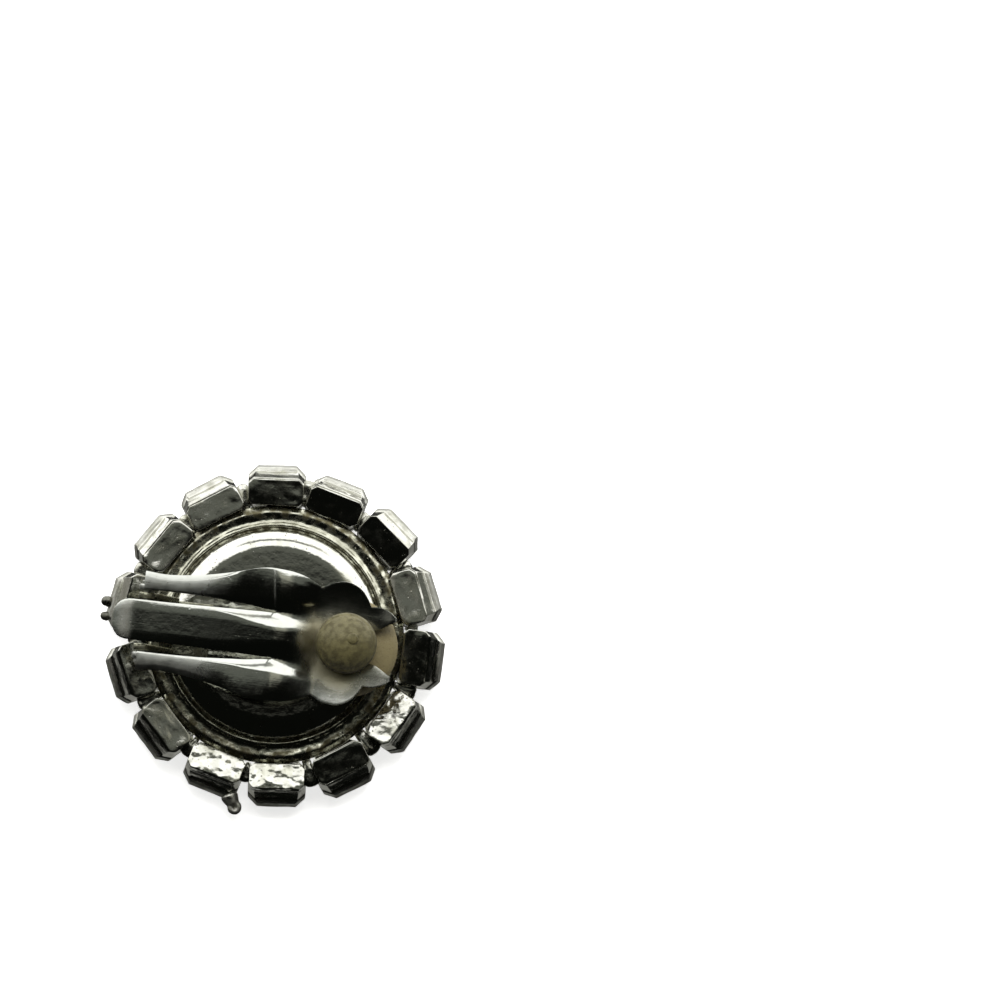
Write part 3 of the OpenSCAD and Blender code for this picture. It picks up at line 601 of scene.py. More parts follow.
def make_cup_master():
    """One stone cup, floor down at the origin, with its collar and four prongs."""
    prong_bends, diagonal = ((0.12, 0.3, 0.9), (0.48, 0.32, 0.75)), 0.707
    body = ((FLOOR_W + RIM_W) / 2, (FLOOR_L + RIM_L) / 2, (FLOOR_CUT + RIM_CUT) / 2, COLLAR_DEPTH)
    floor = (FLOOR_W, FLOOR_L, FLOOR_CUT, 0)
    rim = (RIM_W, RIM_L, RIM_CUT, CUP_DEPTH)
    ledge = COLLAR_DEPTH + 0.14
    sections = [
        floor,
        body,
        (RIM_W - 0.04, RIM_L - 0.3, RIM_CUT, ledge),
        rim,
        inset_section(rim, CUP_WALL, CUP_DEPTH),
        inset_section(rim, CUP_WALL + 0.01, ledge),
        inset_section(body, CUP_WALL, COLLAR_DEPTH - 0.02),
        inset_section(floor, CUP_WALL, CUP_WALL),
    ]
    deselect_all()
    bpy.ops.mesh.primitive_plane_add(size=MM)
    start_editing()
    resize(FLOOR_W, FLOOR_L, 1)
    bpy.ops.mesh.select_mode(type="VERT")
    bpy.ops.mesh.bevel(offset=FLOOR_CUT * MM, segments=1, affect="VERTICES")
    bpy.ops.mesh.select_mode(type="FACE")
    bpy.ops.mesh.select_all(action="SELECT")
    for old, new in zip(sections, sections[1:]):
        next_section(old, new)
    near = 0.01 * MM
    select_where(lambda f: abs(f.calc_center_median().z) < near, "faces")
    bpy.ops.mesh.inset(thickness=0.3 * MM)
    bpy.ops.mesh.inset(thickness=0.3 * MM)
    for sx, sy in ((1, 1), (-1, 1), (-1, -1), (1, -1)):
        select_where(
            lambda f: abs(f.calc_center_median().z - CUP_DEPTH * MM) < near
            and f.calc_center_median().x * sx > (RIM_W / 2 - RIM_CUT) * MM
            and f.calc_center_median().y * sy > (RIM_L / 2 - RIM_CUT) * MM
            and f.calc_area() < 0.6 * MM * MM,
            "faces",
        )
        for lean, rise, share in prong_bends:
            bpy.ops.mesh.extrude_region_move()
            move(-sx * lean * diagonal, -sy * lean * diagonal, rise)
            picked = [v.co for v in edit_mesh().verts if v.select]
            resize(share, share, 1, about=sum(picked, Vector()) / len(picked) / MM)
    master = finish_piece("stone_cup")
    soften_edges(master, 0.08, 2, 28)
    smooth_out(master, 2)
    return master


def make_cups():
    """Fourteen copies of the cup, each with its own lean of the floor and its own dents."""
    master = make_cup_master()
    lumps = waves("cup_dimples", 0.95, 1)
    sway = waves("cup_sway", 3.2, 0)
    cups = []
    for k in range(CUP_COUNT):
        cup = copy_of(master)
        cup.name = cup.data.name = f"stone_cup_{k + 1:02d}"
        activate(cup)
        bpy.ops.object.mode_set(mode="EDIT")
        select_where(lambda v: v.co.z < 0.12 * MM)
        rotate(CUPS[k][4], "X")
        rotate(CUPS[k][5], "Y")
        bpy.ops.object.mode_set(mode="OBJECT")
        cup.matrix_world = cup_matrix(k)
        bpy.ops.object.transform_apply(location=True, rotation=True, scale=True)
        dent(cup, sway, 0.08)
        dent(cup, lumps, 0.08)
        cups.append(cup)
    bpy.data.objects.remove(master)
    return cups


def cup_turn(k):
    """Angle of a cup's middle in degrees, on past a full turn."""
    lap = 360 * (k // CUP_COUNT)
    return CUP_START + 360 / CUP_COUNT * (k % CUP_COUNT) + CUPS[k % CUP_COUNT][0] + lap


def make_webs():
    """The rough solder between neighbouring cups, all in one piece."""
    overlap, side_overlap, thickness = 0.4, 0.16, 1.1
    parts = []
    for k in range(CUP_COUNT):
        half = (cup_turn(k + 1) - cup_turn(k)) / 2
        lean = math.radians(half)
        start = RIM_W / 2 / math.sin(lean)
        reach = max(RIM_IN_R + CUPS[k][3] * RIM_L, start + 0.5)
        end_half = (reach * math.sin(lean) - RIM_W / 2) / math.cos(lean) + side_overlap
        deselect_all()
        bpy.ops.mesh.primitive_cube_add(size=MM)
        start_editing()
        resize(reach - start + overlap, 2 * end_half, thickness)
        select_where(lambda v: v.co.x < 0)
        resize(1, 0.4, 1)
        bpy.ops.mesh.select_all(action="SELECT")
        bpy.ops.mesh.subdivide(number_cuts=1)
        move((reach + start - overlap) / 2, 0, CUP_BACK_Z - 0.94 * CUP_DEPTH + thickness / 2)
        rotate(cup_turn(k) + half, "Z")
        parts.append(finish_piece("web"))
    webs = join(parts, "solder_webs")
    smooth_out(webs, 2)
    dent(webs, waves("solder_lumps", 0.6, 1), 0.2)
    return webs


def make_bent_prong():
    """A prong of the tenth cup, bent out of line and rolled up at its end."""
    roll_r, wire_r, shank_r, flatness = 0.34, 0.31, 0.6, 0.72
    rim_r = RIM_CIRCLE_R + RIM_L / 2
    height = 1.8
    root_turn = Matrix.Rotation(math.radians(cup_turn(9) + 7.9), 3, "Z")
    root = root_turn @ Vector((rim_r - 0.5, 0, height - 0.1))
    end_turn = Matrix.Rotation(math.radians(cup_turn(9) + 11), 3, "Z")
    roll = end_turn @ Vector((rim_r + 0.56, 0, height))
    deselect_all()
    bpy.ops.mesh.primitive_torus_add(
        major_radius=roll_r * MM, minor_radius=wire_r * MM, major_segments=40, minor_segments=16,
        location=roll * MM,
    )
    ring = bpy.context.active_object
    deselect_all()
    bpy.ops.mesh.primitive_circle_add(vertices=20, radius=shank_r * MM, fill_type="NGON")
    start_editing()
    way = roll - root
    shank_l = way.length - 0.3
    for step, share in ((0.08, 1.25), (0.17, 1.04), (0.25, 0.92), (0.25, 0.9), (0.25, 0.88)):
        bpy.ops.mesh.extrude_region_move()
        move(z=step * shank_l)
        resize(share, share, 1)
    shank = finish_piece("shank")
    turn = way.to_track_quat("Z", "Y").to_matrix().to_4x4()
    flatter = Matrix.Scale(flatness, 4, (0, 0, 1))
    shank.matrix_world = Matrix.Translation(root * MM) @ flatter @ turn
    join([ring, shank], "bent_prong")
    prong = finish_piece("bent_prong")
    melt_together(prong, 0.05)
    apply_modifier(prong, "SMOOTH", factor=0.5, iterations=16)
    dent(prong, waves("prong_dents", 0.6, 0), 0.08)
    return finish_piece("bent_prong")


def make_blobs():
    """Two solder blobs on the seventh cup's outer rim, wider where they sit on it."""
    foot_shares, overlap, height = (1.6, 1.15, 1.3), 0.2, 1.8
    rim_r = RIM_CIRCLE_R + (0.5 + CUPS[6][2]) * RIM_L
    parts = []
    for turn, radius in ((1.3, 0.45), (6.3, 0.38)):
        deselect_all()
        bpy.ops.mesh.primitive_ico_sphere_add(subdivisions=4, radius=radius * MM)
        start_editing()
        select_where(lambda v: v.co.x < -0.1 * MM)
        resize(*foot_shares)
        bpy.ops.mesh.select_all(action="SELECT")
        move(x=rim_r + radius - overlap, z=height)
        rotate(cup_turn(6) + turn, "Z")
        parts.append(finish_piece("blob"))
    blobs = join(parts, "rim_blobs")
    dent(blobs, waves("blob_dents", 0.6, 0), 0.05)
    return blobs


# The bracket, the pin and the tabs

def make_hinge_plate(name, radius, thickness, side_y, direction, length):
    """A plate beside the tongue: round about the pin, straight towards what carries it."""
    deselect_all()
    bpy.ops.mesh.primitive_cylinder_add(vertices=64, radius=radius * MM, depth=thickness * MM)
    start_editing()
    select_where(lambda v: v.co.x > 0.02 * MM)
    move(x=length)
    plate = finish_piece(name)
    soften_edges(plate, 0.1, 3, 50)
    angle = math.atan2(direction[1], direction[0])
    place = Matrix.Translation(Vector((HINGE_X, CLIP_Y + side_y, HINGE_Z)) * MM)
    plate.matrix_world = place @ Matrix.Rotation(-angle, 4, "Y") @ Matrix.Rotation(math.pi / 2, 4, "X")
    activate(plate)
    bpy.ops.object.transform_apply(location=True, rotation=True, scale=True)
    return plate


def make_bracket():
    """The soldered bracket: a square foot, a slanted leg and two ears beside the tongue."""
    foot_w, strip_l, thickness = 4.7, 0.14, 0.64
    ear_r, ear_t, ear_side, ear_l = 0.9, 0.6, 2.28, 3.4
    foot_mid = PLATEAU_Z + 0.33
    leg_top = (HINGE_X + 1.15, HINGE_Z - 2.16)
    here = (-5.7, foot_mid)
    bend = [(-6.4, foot_mid), (-8.5, foot_mid), (-9.0, foot_mid + 0.1), (-9.3, foot_mid + 0.5), leg_top]
    deselect_all()
    bpy.ops.mesh.primitive_plane_add(size=MM, location=(here[0] * MM, CLIP_Y * MM, foot_mid * MM))
    start_editing()
    bpy.ops.mesh.select_all(action="SELECT")
    resize(strip_l, foot_w, 1, about=(here[0], CLIP_Y, foot_mid))
    select_where(lambda e: all(v.co.x < here[0] * MM for v in e.verts), "edges")
    for x, z in bend:
        bpy.ops.mesh.extrude_edges_move()
        move(x=x - here[0], z=z - here[1])
        here = (x, z)
    bpy.ops.mesh.select_all(action="SELECT")
    bpy.ops.mesh.subdivide(number_cuts=2)
    bracket = finish_piece("foot")
    apply_modifier(bracket, "SOLIDIFY", thickness=thickness * MM, offset=0)
    soften_edges(bracket, 0.12, 3, 50)
    dent(bracket, waves("foot_waves", 2.2, 1), 0.08)
    way = (-9.05 - HINGE_X, foot_mid + 0.25 - HINGE_Z)
    ears = [make_hinge_plate("ear", ear_r, ear_t, side * ear_side, way, ear_l) for side in (1, -1)]
    return join([bracket] + ears, "bracket")


def make_pin():
    """The hinge pin with its two heads, set down at their edges."""
    radius, head = 0.45, 0.7
    end = [(0, 3.71), (0.4, 3.70), (0.6, 3.66), (head, 3.56), (head, 3.38), (0.66, 3.36), (radius, 3.35)]
    pin = turned("pin", [(r, -along) for r, along in end] + end[::-1], 48)
    place = Matrix.Translation(Vector((HINGE_X, CLIP_Y, HINGE_Z)) * MM)
    pin.matrix_world = place @ Matrix.Rotation(math.pi / 2, 4, "X")
    activate(pin)
    return finish_piece("rivet_pin", 35)


# The lever

def lever_across(x):
    """Places across one side of the lever and their heights, from the middle line outwards."""
    t, s, tf, td, af, ad, of, od, rib, dish = [smooth_value(LEVER_RIBS, x, c) for c in range(1, 11)]
    if x >= NOTCH_AT:
        t = max(t, 1.475)
    o = smooth_value(LEVER_OUTLINE, x, 1, CUSPS)
    s = max(min(s, o - 0.06), t + 0.05)
    inner, outer = s + min(af, (o - s) * 0.45), o - min(of, (o - s) * 0.45)
    places = [
        (0, rib), (0.5 * (t - tf), rib), (t - 1.14 * tf, rib), (t - 0.86 * tf, rib - 0.12 * td),
        (t - 0.4 * tf, rib - 0.6 * td), (t, rib - td),
        (s, rib - ad), (s + 0.4 * (inner - s), rib - 0.6 * ad), (s + 0.86 * (inner - s), rib - 0.12 * ad),
        (s + 1.14 * (inner - s), rib), (o - 1.14 * (o - outer), rib),
        (o - 0.86 * (o - outer), rib - 0.12 * od), (o - 0.4 * (o - outer), rib - 0.6 * od), (o, rib - od),
    ]
    rise = smooth_value(LEVER_RISE, x, 1, (CREASE,))
    lean = 0.018 * min(max((CREASE - x) / 1.2, 0), 1)
    places = [(y, up - lean * max(y - 2.3, 0)) for y, up in places]
    low, high = 2.3, 5.4
    return [(y, rise + up + dish * min(max((y - low) / (high - low), 0), 1) ** 2) for y, up in places]


def make_lever_sheet():
    """The stamped sheet: a middle tongue with a curled tail, two arms, a leaf-shaped end and a notch."""
    corners = [ARM_START, CREASE, NOTCH_AT, *CUSPS, 22.65]
    inside = [x / 100 for x in range(76, 2265, 42)]
    stations = sorted(corners + [x for x in inside if min(abs(x - c) for c in corners) > 0.16])
    start = lever_across(ARM_START)
    tongue_places = 6
    middle = len(start) - 1
    wide = 2 * middle + 1
    rows = []
    for back, drop, share in TAIL:
        strip = [(y * share, up - drop) for y, up in start[:tongue_places]]
        spare = [(3 + 0.1 * j, -drop) for j in range(tongue_places, middle + 1)]
        rows.append((-back, strip + spare))
    rows += [(x, lever_across(x)) for x in stations]
    deselect_all()
    bpy.ops.mesh.primitive_grid_add(x_subdivisions=wide - 1, y_subdivisions=len(rows) - 1, size=2 * MM)
    start_editing()
    bpy.ops.mesh.select_mode(type="VERT")
    bpy.ops.mesh.select_all(action="DESELECT")
    for i, (x, across) in enumerate(rows):
        for j in range(-middle, middle + 1):
            y, up = across[abs(j)]
            goal = Vector((ROOT_X + x, CLIP_Y + math.copysign(y, j), SHEET_Z + SHEET_T + up)) * MM
            edit = edit_mesh()
            edit.verts.ensure_lookup_table()
            point = edit.verts[i * wide + middle + j]
            point.select_set(True)
            bpy.ops.transform.translate(value=goal - point.co)
            edit = edit_mesh()
            edit.verts.ensure_lookup_table()
            edit.verts[i * wide + middle + j].select_set(False)

    def cut_away(face):
        centre = face.calc_center_median() / MM
        x, side = centre.x - ROOT_X, abs(centre.y - CLIP_Y)
        if x < ARM_START:
            return side > 1.85
        t, s = [lever_across(x)[n][0] for n in (5, 6)]
        return t < side < s if x < CREASE else x > NOTCH_AT and side < t

    select_where(cut_away, "faces")
    bpy.ops.mesh.delete(type="FACE")
    sheet = finish_piece("lever_sheet")
    if sum(face.normal.z for face in sheet.data.polygons) < 0:
        bpy.ops.object.mode_set(mode="EDIT")
        bpy.ops.mesh.select_all(action="SELECT")
        bpy.ops.mesh.flip_normals()
        bpy.ops.object.mode_set(mode="OBJECT")
    apply_modifier(sheet, "SOLIDIFY", thickness=SHEET_T * MM, offset=-1)
    soften_edges(sheet, 0.11, 3, 60)
    return sheet


def make_lever():
    """The stamped sheet with the two tabs that hold the pin."""
    tab_r, tab_t, tab_side, tab_l = 0.9, 0.5, 3.01, 0.35
    sheet = make_lever_sheet()
    tabs = [make_hinge_plate("tab", tab_r, tab_t, side * tab_side, (0, 1), tab_l) for side in (1, -1)]
    return join([sheet] + tabs, "stamped_lever")


# The pad

def make_pad():
    """The moulded pad: a soft disc under the lever, a neck in its notch and a round knob above."""
    low, high = PAD_LOW[2], PAD_HIGH[2]
    mid = low + 0.95
    rim = 4.36
    knob_low, knob_mid, knob_r = 9.70, 11.1, 2.69
    below = [
        (0, low), (1.2, low + 0.01), (2.4, low + 0.06),
        (3.3, low + 0.2), (3.9, low + 0.42), (4.2, low + 0.64),
    ]
    edge = [
        (rim - 0.02, mid - 0.1), (rim + 0.06, mid - 0.04),
        (rim + 0.06, mid + 0.04), (rim - 0.02, mid + 0.1),
    ]
    above = [(4.2, mid + 0.31), (3.9, mid + 0.53), (3.3, mid + 0.75), (2.4, mid + 0.87), (1.7, mid + 0.9)]
    neck = [(1.425, mid + 0.98), (1.425, 9.3), (1.45, 9.62)]
    knob = [(2.0, knob_low), (2.35, knob_low + 0.14), (2.52, knob_low + 0.42)]
    waist = [(2.62, knob_mid - 0.55), (knob_r, knob_mid - 0.1), (knob_r, knob_mid + 0.02)]
    rise = high - 0.1 - knob_mid
    lip = [(knob_r * x, knob_mid + rise * z) for x, z in arc((0, 0), 1, 6, 21, 3)]
    dome = [(knob_r * x, knob_mid + rise * z) for x, z in arc((0, 0), 0.975, 22, 84, 10)]
    profile = below + edge + above + neck + knob + waist + lip + dome + [(0, knob_mid + rise * 0.975)]
    pad = turned("moulded_pad", profile, 96)
    activate(pad)
    bpy.ops.object.mode_set(mode="EDIT")
    select_where(lambda v: v.co.z < (mid + 1) * MM)
    move(x=0.1, y=-0.15)
    bpy.ops.mesh.select_all(action="SELECT")
    move(x=PAD_X, y=CLIP_Y)
    pad = finish_piece("moulded_pad")
    smooth_out(pad, 1)
    nub_z = high - 0.4
    nub = turned("nub", [(0, 0.34), (0.2, 0.335), (0.36, 0.31), (0.46, 0.26), (0.52, 0.16), (0.54, 0)], 32)
    activate(nub)
    bpy.ops.object.mode_set(mode="EDIT")
    select_where(lambda e: e.is_boundary, "edges")
    bpy.ops.mesh.edge_face_add()
    bpy.ops.mesh.select_all(action="SELECT")
    move(x=PAD_X + 0.52, y=CLIP_Y + 0.32, z=nub_z)
    nub = finish_piece("nub")
    smooth_out(nub, 1)
    pad = join([pad, nub], "moulded_pad")
    dent(pad, waves("pad_dents", 1.3, 1), 0.07)
    return pad


# Materials

def new_material(name):
    material = bpy.data.materials.new(name)
    material.use_nodes = True
    tree = material.node_tree
    return material, tree, tree.nodes["Principled BSDF"]


def new_group(name, outputs):
    """A node group that several materials share. Gives its tree, its place socket and its exit."""
    tree = bpy.data.node_groups.new(name, "ShaderNodeTree")
    for label in outputs:
        tree.interface.new_socket(label, in_out="OUTPUT", socket_type="NodeSocketFloat")
    place = tree.nodes.new("ShaderNodeTexCoord").outputs["Object"]
    return tree, place, tree.nodes.new("NodeGroupOutput")


def make_wear_group():
    """Spots of tarnish, pits, dents on the cups' floors or walls, and the unevenness of old plating."""
    tree, place, out = new_group("plating_wear", ("Tarnish", "Pits", "Floor", "Wall", "Height"))
    tarnish = ramp(tree, noise(tree, place, 0.8, 5), 0.46, 0.7)
    cells = node(tree, "TexVoronoi", {"Vector": place, "Scale": 2.2 / MM}).outputs["Distance"]
    patches = ramp(tree, noise(tree, place, 0.5, 1), 0.42, 0.6)
    pits = times(tree, ramp(tree, cells, 0.08, 0.2, 1, 0), patches)
    fine, soft = noise(tree, place, 7, 3), noise(tree, place, 1.6, 2)
    height = calc(tree, "MULTIPLY_ADD", fine, 0.1, times(tree, soft, 1.1))
    height = calc(tree, "MULTIPLY_ADD", pits, -0.4, height)
    dents = noise(tree, place, 1.1, 1)
    on_floor = ramp(tree, height_of(tree, place), 3.5 * MM, 3.8 * MM)
    on_wall = calc(tree, "SUBTRACT", 1, on_floor)
    tree.links.new(tarnish, out.inputs["Tarnish"])
    tree.links.new(pits, out.inputs["Pits"])
    tree.links.new(times(tree, dents, on_floor), out.inputs["Floor"])
    tree.links.new(times(tree, dents, on_wall), out.inputs["Wall"])
    tree.links.new(height, out.inputs["Height"])
    return tree


def make_grime_and_shade_group():
    """Darkening in the groove between the centre cup and the stone cups, in the cove further out, and low
    down: partly real soiling, partly painted shade in recesses and near the floor.
    """
    tree, place, out = new_group("groove_grime_and_shade", ("GrimeAndShade",))
    radius, height = distance_from(tree, place), height_of(tree, place)
    # painted shade: the groove at the plateau's foot and the cove are darkened as shaded recesses, along
    # with some soiling
    groove = times(
        tree, ramp(tree, radius, 8.9 * MM, 9.2 * MM), ramp(tree, radius, 9.4 * MM, 9.8 * MM, 1, 0.35),
    )
    cove = between(tree, radius, 10.1 * MM, 10.5 * MM, 11.2 * MM, 12 * MM)
    # painted shade: the colour darkens low down and at the cups' lower edges, towards the floor
    low = ramp(tree, height, 1.2 * MM, 3.3 * MM, 0.7, 0)
    edge = ramp(tree, height, 1.2 * MM, 1.8 * MM, 0.35, 0)
    patches = ramp(tree, noise(tree, place, 1.4, 4), 0.34, 0.62)
    grime_and_shade = calc(tree, "MAXIMUM", calc(tree, "MAXIMUM", groove, cove), low)
    grime_and_shade = calc(tree, "MAXIMUM", times(tree, grime_and_shade, patches), edge)
    tree.links.new(grime_and_shade, out.inputs["GrimeAndShade"])
    return tree


def make_grain_group():
    """Long fine lines left by the rolling of the lever's sheet."""
    tree, place, out = new_group("rolled_grain", ("Lines",))
    long_and_fine = (0.25, 9, 3)
    tree.links.new(noise(tree, place, 1, 4, long_and_fine), out.inputs["Lines"])
    return tree


def make_flange_group():
    """The outer flanges of the stone cups, which are duller than the rest."""
    tree, place, out = new_group("dull_flange", ("Flange",))
    low = ramp(tree, height_of(tree, place), 2.15 * MM, 2.35 * MM, 1, 0)
    outside = ramp(tree, distance_from(tree, place), 13.6 * MM, 14.2 * MM)
    tree.links.new(times(tree, low, outside), out.inputs["Flange"])
    return tree


def make_rub_and_knob_reflection_group():
    """Places of the lever that are rubbed dull, and a painted reflection of the knob: a tan glow on the
    sheet beside it.
    """
    tree, place, out = new_group("rubbed_places_and_knob_reflection", ("Rubbed", "KnobReflection"))
    parts = node(tree, "SeparateXYZ", {"Vector": place}).outputs
    along = calc(tree, "SUBTRACT", parts["X"], ROOT_X * MM)
    across = calc(tree, "SUBTRACT", parts["Y"], CLIP_Y * MM)
    side = calc(tree, "ABSOLUTE", across)
    tail = ramp(tree, along, -0.7 * MM, -0.1 * MM, 1, 0)
    roots = times(tree, ramp(tree, along, 4.6 * MM, 8.8 * MM, 1.6, 0), ramp(tree, side, 2.2 * MM, 2.6 * MM))
    lobes = times(
        tree, ramp(tree, along, 13.1 * MM, 16.1 * MM), ramp(tree, across, -2.8 * MM, -1.4 * MM, 1, 0),
    )
    from_knob = distance_from(tree, place, PAD_X, CLIP_Y)
    knob_along = PAD_X - ROOT_X
    free = times(
        tree, ramp(tree, along, (knob_along - 0.5) * MM, (knob_along + 2.5) * MM, 1, 0.3),
        ramp(tree, across, 1.2 * MM, 3.4 * MM, 1, 0.2),
    )
    handled = times(tree, free, ramp(tree, from_knob, 3 * MM, 5.4 * MM, 2.2, 0))
    # painted reflection: the knob's tan glow on the sheet around it, strongest near the knob
    painted_knob_reflection = times(tree, free, ramp(tree, from_knob, 3 * MM, 5.2 * MM, 0.75, 0))
    over_crease = (0.994, 0.113, 0)
    fold = node(tree, "VectorMath", {0: place, 1: over_crease}, operation="DOT_PRODUCT").outputs["Value"]
    fold = calc(tree, "ABSOLUTE", calc(tree, "SUBTRACT", fold, 0.12 * MM))
    crease = times(
        tree, ramp(tree, fold, 0.04 * MM, 0.16 * MM, 1, 0), ramp(tree, across, 1.9 * MM, 2.9 * MM),
    )
    rubbed = tail
    for area in (roots, lobes, handled, crease):
        rubbed = calc(tree, "MAXIMUM", rubbed, area)
    patches = ramp(tree, noise(tree, place, 1.3, 2), 0.25, 0.75, 0.65, 1)
    tree.links.new(times(tree, rubbed, patches), out.inputs["Rubbed"])
    tree.links.new(painted_knob_reflection, out.inputs["KnobReflection"])
    return tree


def use_group(tree, group):
    made = tree.nodes.new("ShaderNodeGroup")
    made.node_tree = group
    return made.outputs


def link_look(tree, shader, colour, roughness, height, depth):
    """Gives a shader its varying colour and roughness, and a relief this many millimetres deep."""
    bump = node(tree, "Bump", {"Height": height, "Strength": 1, "Distance": depth * MM})
    tree.links.new(colour, shader.inputs["Base Color"])
    tree.links.new(roughness, shader.inputs["Roughness"])
    tree.links.new(bump.outputs["Normal"], shader.inputs["Normal"])


def metal(
    name, groups, colours, roughness, tarnish_share, grime_and_shade_share, relief, lines=0, pits=0.7, floor=0, wall=0
):
    """Old metal: its colour and gloss vary with tarnish, pits, soiling and painted shade. Relief is in
    millimetres.
    """
    clean, dull, dirt_and_shade_colour = [(*c, 1) for c in colours]
    material, tree, shader = new_material(name)
    worn = use_group(tree, groups["wear"])
    dirt_and_shade = times(tree, use_group(tree, groups["grime_and_shade"])["GrimeAndShade"], grime_and_shade_share)
    tarnish = times(tree, worn["Tarnish"], tarnish_share)
    colour = mix_colours(tree, tarnish, clean, dull)
    # painted shade: darkens the groove, the cove and the low parts, partly as soiling
    colour = mix_colours(tree, dirt_and_shade, colour, dirt_and_shade_colour)
    colour = mix_colours(tree, times(tree, worn["Pits"], pits), colour, dirt_and_shade_colour)
    gloss = calc(tree, "MULTIPLY_ADD", tarnish, 0.16, roughness)
    gloss = calc(tree, "MULTIPLY_ADD", dirt_and_shade, 0.3, gloss)
    gloss = calc(tree, "MULTIPLY_ADD", worn["Pits"], 0.36 * pits, gloss)
    gloss = calc(tree, "MULTIPLY_ADD", use_group(tree, groups["flange"])["Flange"], 0.34, gloss)
    height = calc(tree, "MULTIPLY_ADD", worn["Floor"], floor, worn["Height"])
    height = calc(tree, "MULTIPLY_ADD", worn["Wall"], wall, height)
    if lines:
        streaks = use_group(tree, groups["grain"])["Lines"]
        rubbed = use_group(tree, groups["rub_and_knob_reflection"])
        gloss = calc(tree, "MULTIPLY_ADD", streaks, 0.06, gloss)
        gloss = calc(tree, "MULTIPLY_ADD", rubbed["Rubbed"], 0.17, gloss)
        # painted reflection of the knob: the sheet beside it turns tan
        colour = mix_colours(tree, rubbed["KnobReflection"], colour, (0.52, 0.47, 0.29, 1))
        height = calc(tree, "MULTIPLY_ADD", streaks, lines, height)
    link_look(tree, shader, colour, gloss, height, relief)
    shader.inputs["Metallic"].default_value = 1
    return material


def make_vinyl():
    """Aged, mottled vinyl, browner on the knob where it was touched, and a little greasy."""
    material, tree, shader = new_material("aged_vinyl")
    place = node(tree, "TexCoord").outputs["Object"]
    broad = ramp(tree, noise(tree, place, 0.35, 3), 0.35, 0.65)
    mottle = ramp(tree, noise(tree, place, 1.9, 5), 0.38, 0.66)
    specks = ramp(tree, noise(tree, place, 6, 2), 0.6, 0.72)
    on_knob = ramp(tree, height_of(tree, place), 9 * MM, 9.6 * MM)
    colour = mix_colours(tree, broad, (0.086, 0.076, 0.033, 1), (0.114, 0.101, 0.045, 1))
    colour = mix_colours(tree, mottle, colour, (0.058, 0.050, 0.021, 1))
    colour = mix_colours(tree, on_knob, (0.148, 0.123, 0.061, 1), colour)
    colour = mix_colours(tree, times(tree, specks, 0.5), colour, (0.05, 0.04, 0.02, 1))
    gloss = calc(tree, "MULTIPLY_ADD", mottle, 0.2, 0.42)
    height = calc(tree, "MULTIPLY_ADD", mottle, 0.5, noise(tree, place, 9, 2))
    link_look(tree, shader, colour, gloss, height, 0.03)
    shader.inputs["Specular IOR Level"].default_value = 0.35
    return material


def make_glass():
    """Clear cut glass with faint haze and fine wear on its facets."""
    material, tree, shader = new_material("cut_glass")
    place = node(tree, "TexCoord").outputs["Object"]
    haze = ramp(tree, noise(tree, place, 0.7, 3), 0.4, 0.7)
    colour = mix_colours(tree, haze, (0.96, 0.97, 0.98, 1), (0.86, 0.89, 0.92, 1))
    link_look(tree, shader, colour, ramp(tree, haze, 0, 1, 0.01, 0.06), noise(tree, place, 3, 2), 0.002)
    shader.inputs["Transmission Weight"].default_value = 1
    shader.inputs["IOR"].default_value = 1.54
    return material


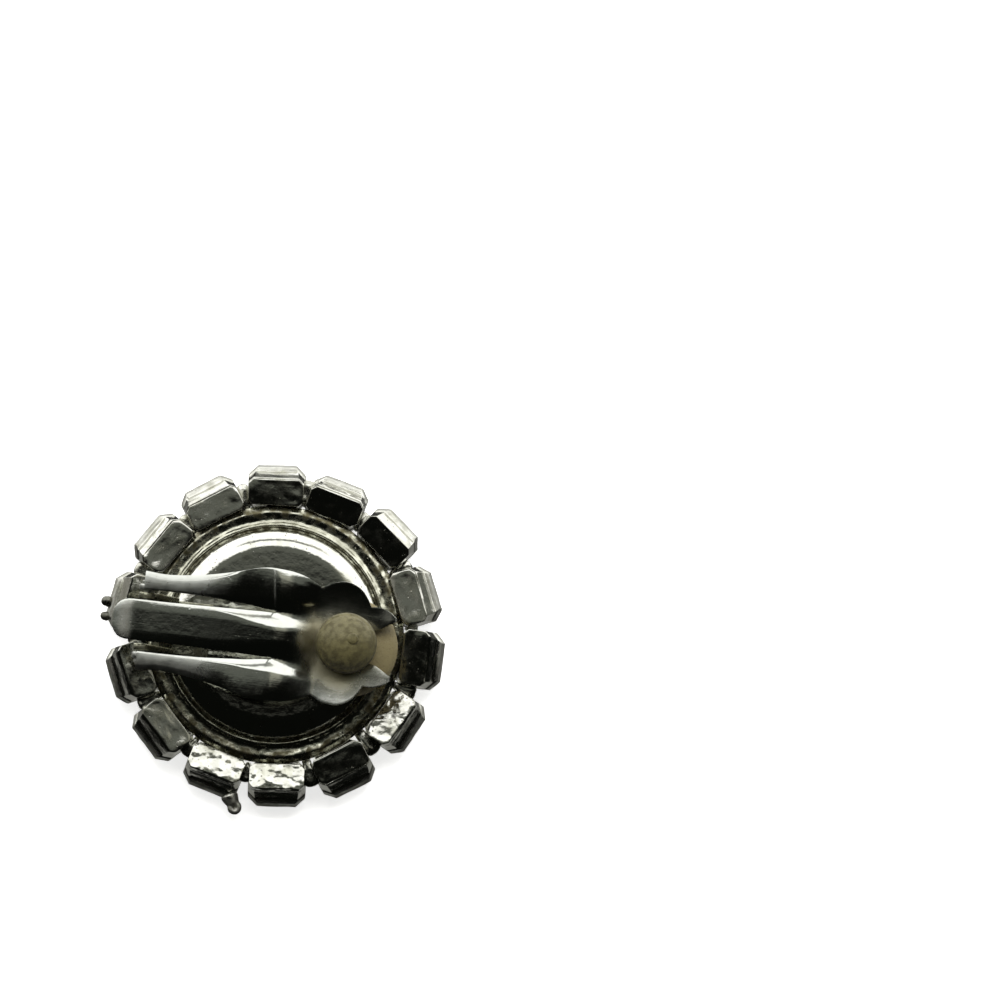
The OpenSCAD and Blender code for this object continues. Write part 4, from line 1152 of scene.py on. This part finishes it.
def make_materials():
    groups = {
        "wear": make_wear_group(), "grime_and_shade": make_grime_and_shade_group(), "flange": make_flange_group(),
        "grain": make_grain_group(), "rub_and_knob_reflection": make_rub_and_knob_reflection_group(),
    }
    plate, olive, brown = (0.56, 0.56, 0.52), (0.36, 0.36, 0.28), (0.11, 0.10, 0.06)
    # the second grey here darkens the rim blobs: painted shade, so that the white wall they mirror shows
    # only grey
    steel, solder_shade_grey, sooty = (0.50, 0.51, 0.48), (0.14, 0.14, 0.12), (0.5, 0.5, 0.42)
    plated = (plate, olive, brown)
    return {
        # roughness, share of tarnish, share of soiling and painted shade, and relief follow the colours
        "polished": metal("polished_plating", groups, plated, 0.06, 0.35, 0.1, 0.010),
        "cups": metal("cup_plating", groups, plated, 0.06, 0.5, 0.6, 0.012),
        "dimpled": metal("dimpled_plating", groups, plated, 0.06, 0.5, 0.6, 0.02, floor=6),
        "scuffed": metal("scuffed_plating", groups, plated, 0.08, 0.5, 0.6, 0.02, floor=3),
        "lumpy": metal("lumpy_plating", groups, plated, 0.06, 0.5, 0.6, 0.02, wall=6),
        # painted shade: the blobs are a darker copy of the solder, so that they show as dark balls
        "blobs": metal("dark_solder", groups, (solder_shade_grey, solder_shade_grey, brown), 0.1, 0.5, 0.3, 0.02),
        "pressed": metal("groove_plating", groups, (sooty, olive, brown), 0.1, 0.9, 1, 0.03),
        "solder": metal("solder", groups, plated, 0.12, 0.7, 0.7, 0.04),
        "bracket": metal("bracket_plating", groups, (olive, brown, brown), 0.2, 0.8, 0.7, 0.04),
        "steel": metal(
            "rolled_steel", groups, (steel, olive, brown), 0.06, 0.15, 0.1, 0.008, lines=0.25, pits=0.1
        ),
        "vinyl": make_vinyl(),
        "glass": make_glass(),
    }


def dress(piece, material, body, cad_node):
    """Gives a piece its look, the body that it moves with and the node that it replaces."""
    piece.data.materials.clear()
    piece.data.materials.append(material)
    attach(piece, body)
    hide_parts(cad_node)


make_camera()
make_floor()
make_key_light()
make_studio()
materials = make_materials()
setting = [
    (make_centre_cup(), "polished"), (make_claws(), "cups"), (make_ring(), "pressed"),
    (make_webs(), "solder"), (make_bent_prong(), "cups"), (make_blobs(), "blobs"),
    (make_bracket(), "bracket"),
]
setting += [(cup, CUP_LOOKS.get(k, "cups")) for k, cup in enumerate(make_cups())]
for part, look in setting:
    dress(part, materials[look], "earring", "setting")
dress(make_pin(), materials["steel"], "earring", "hinge_pin")
dress(make_lever(), materials["steel"], "lever", "clip_lever")
dress(make_pad(), materials["vinyl"], "lever", "comfort_pad")
for name, stone in frame["nodes"].items():
    if "stone" in name:
        stone.data.materials.clear()
        stone.data.materials.append(materials["glass"])

bpy.context.scene.view_settings.view_transform = "Standard"
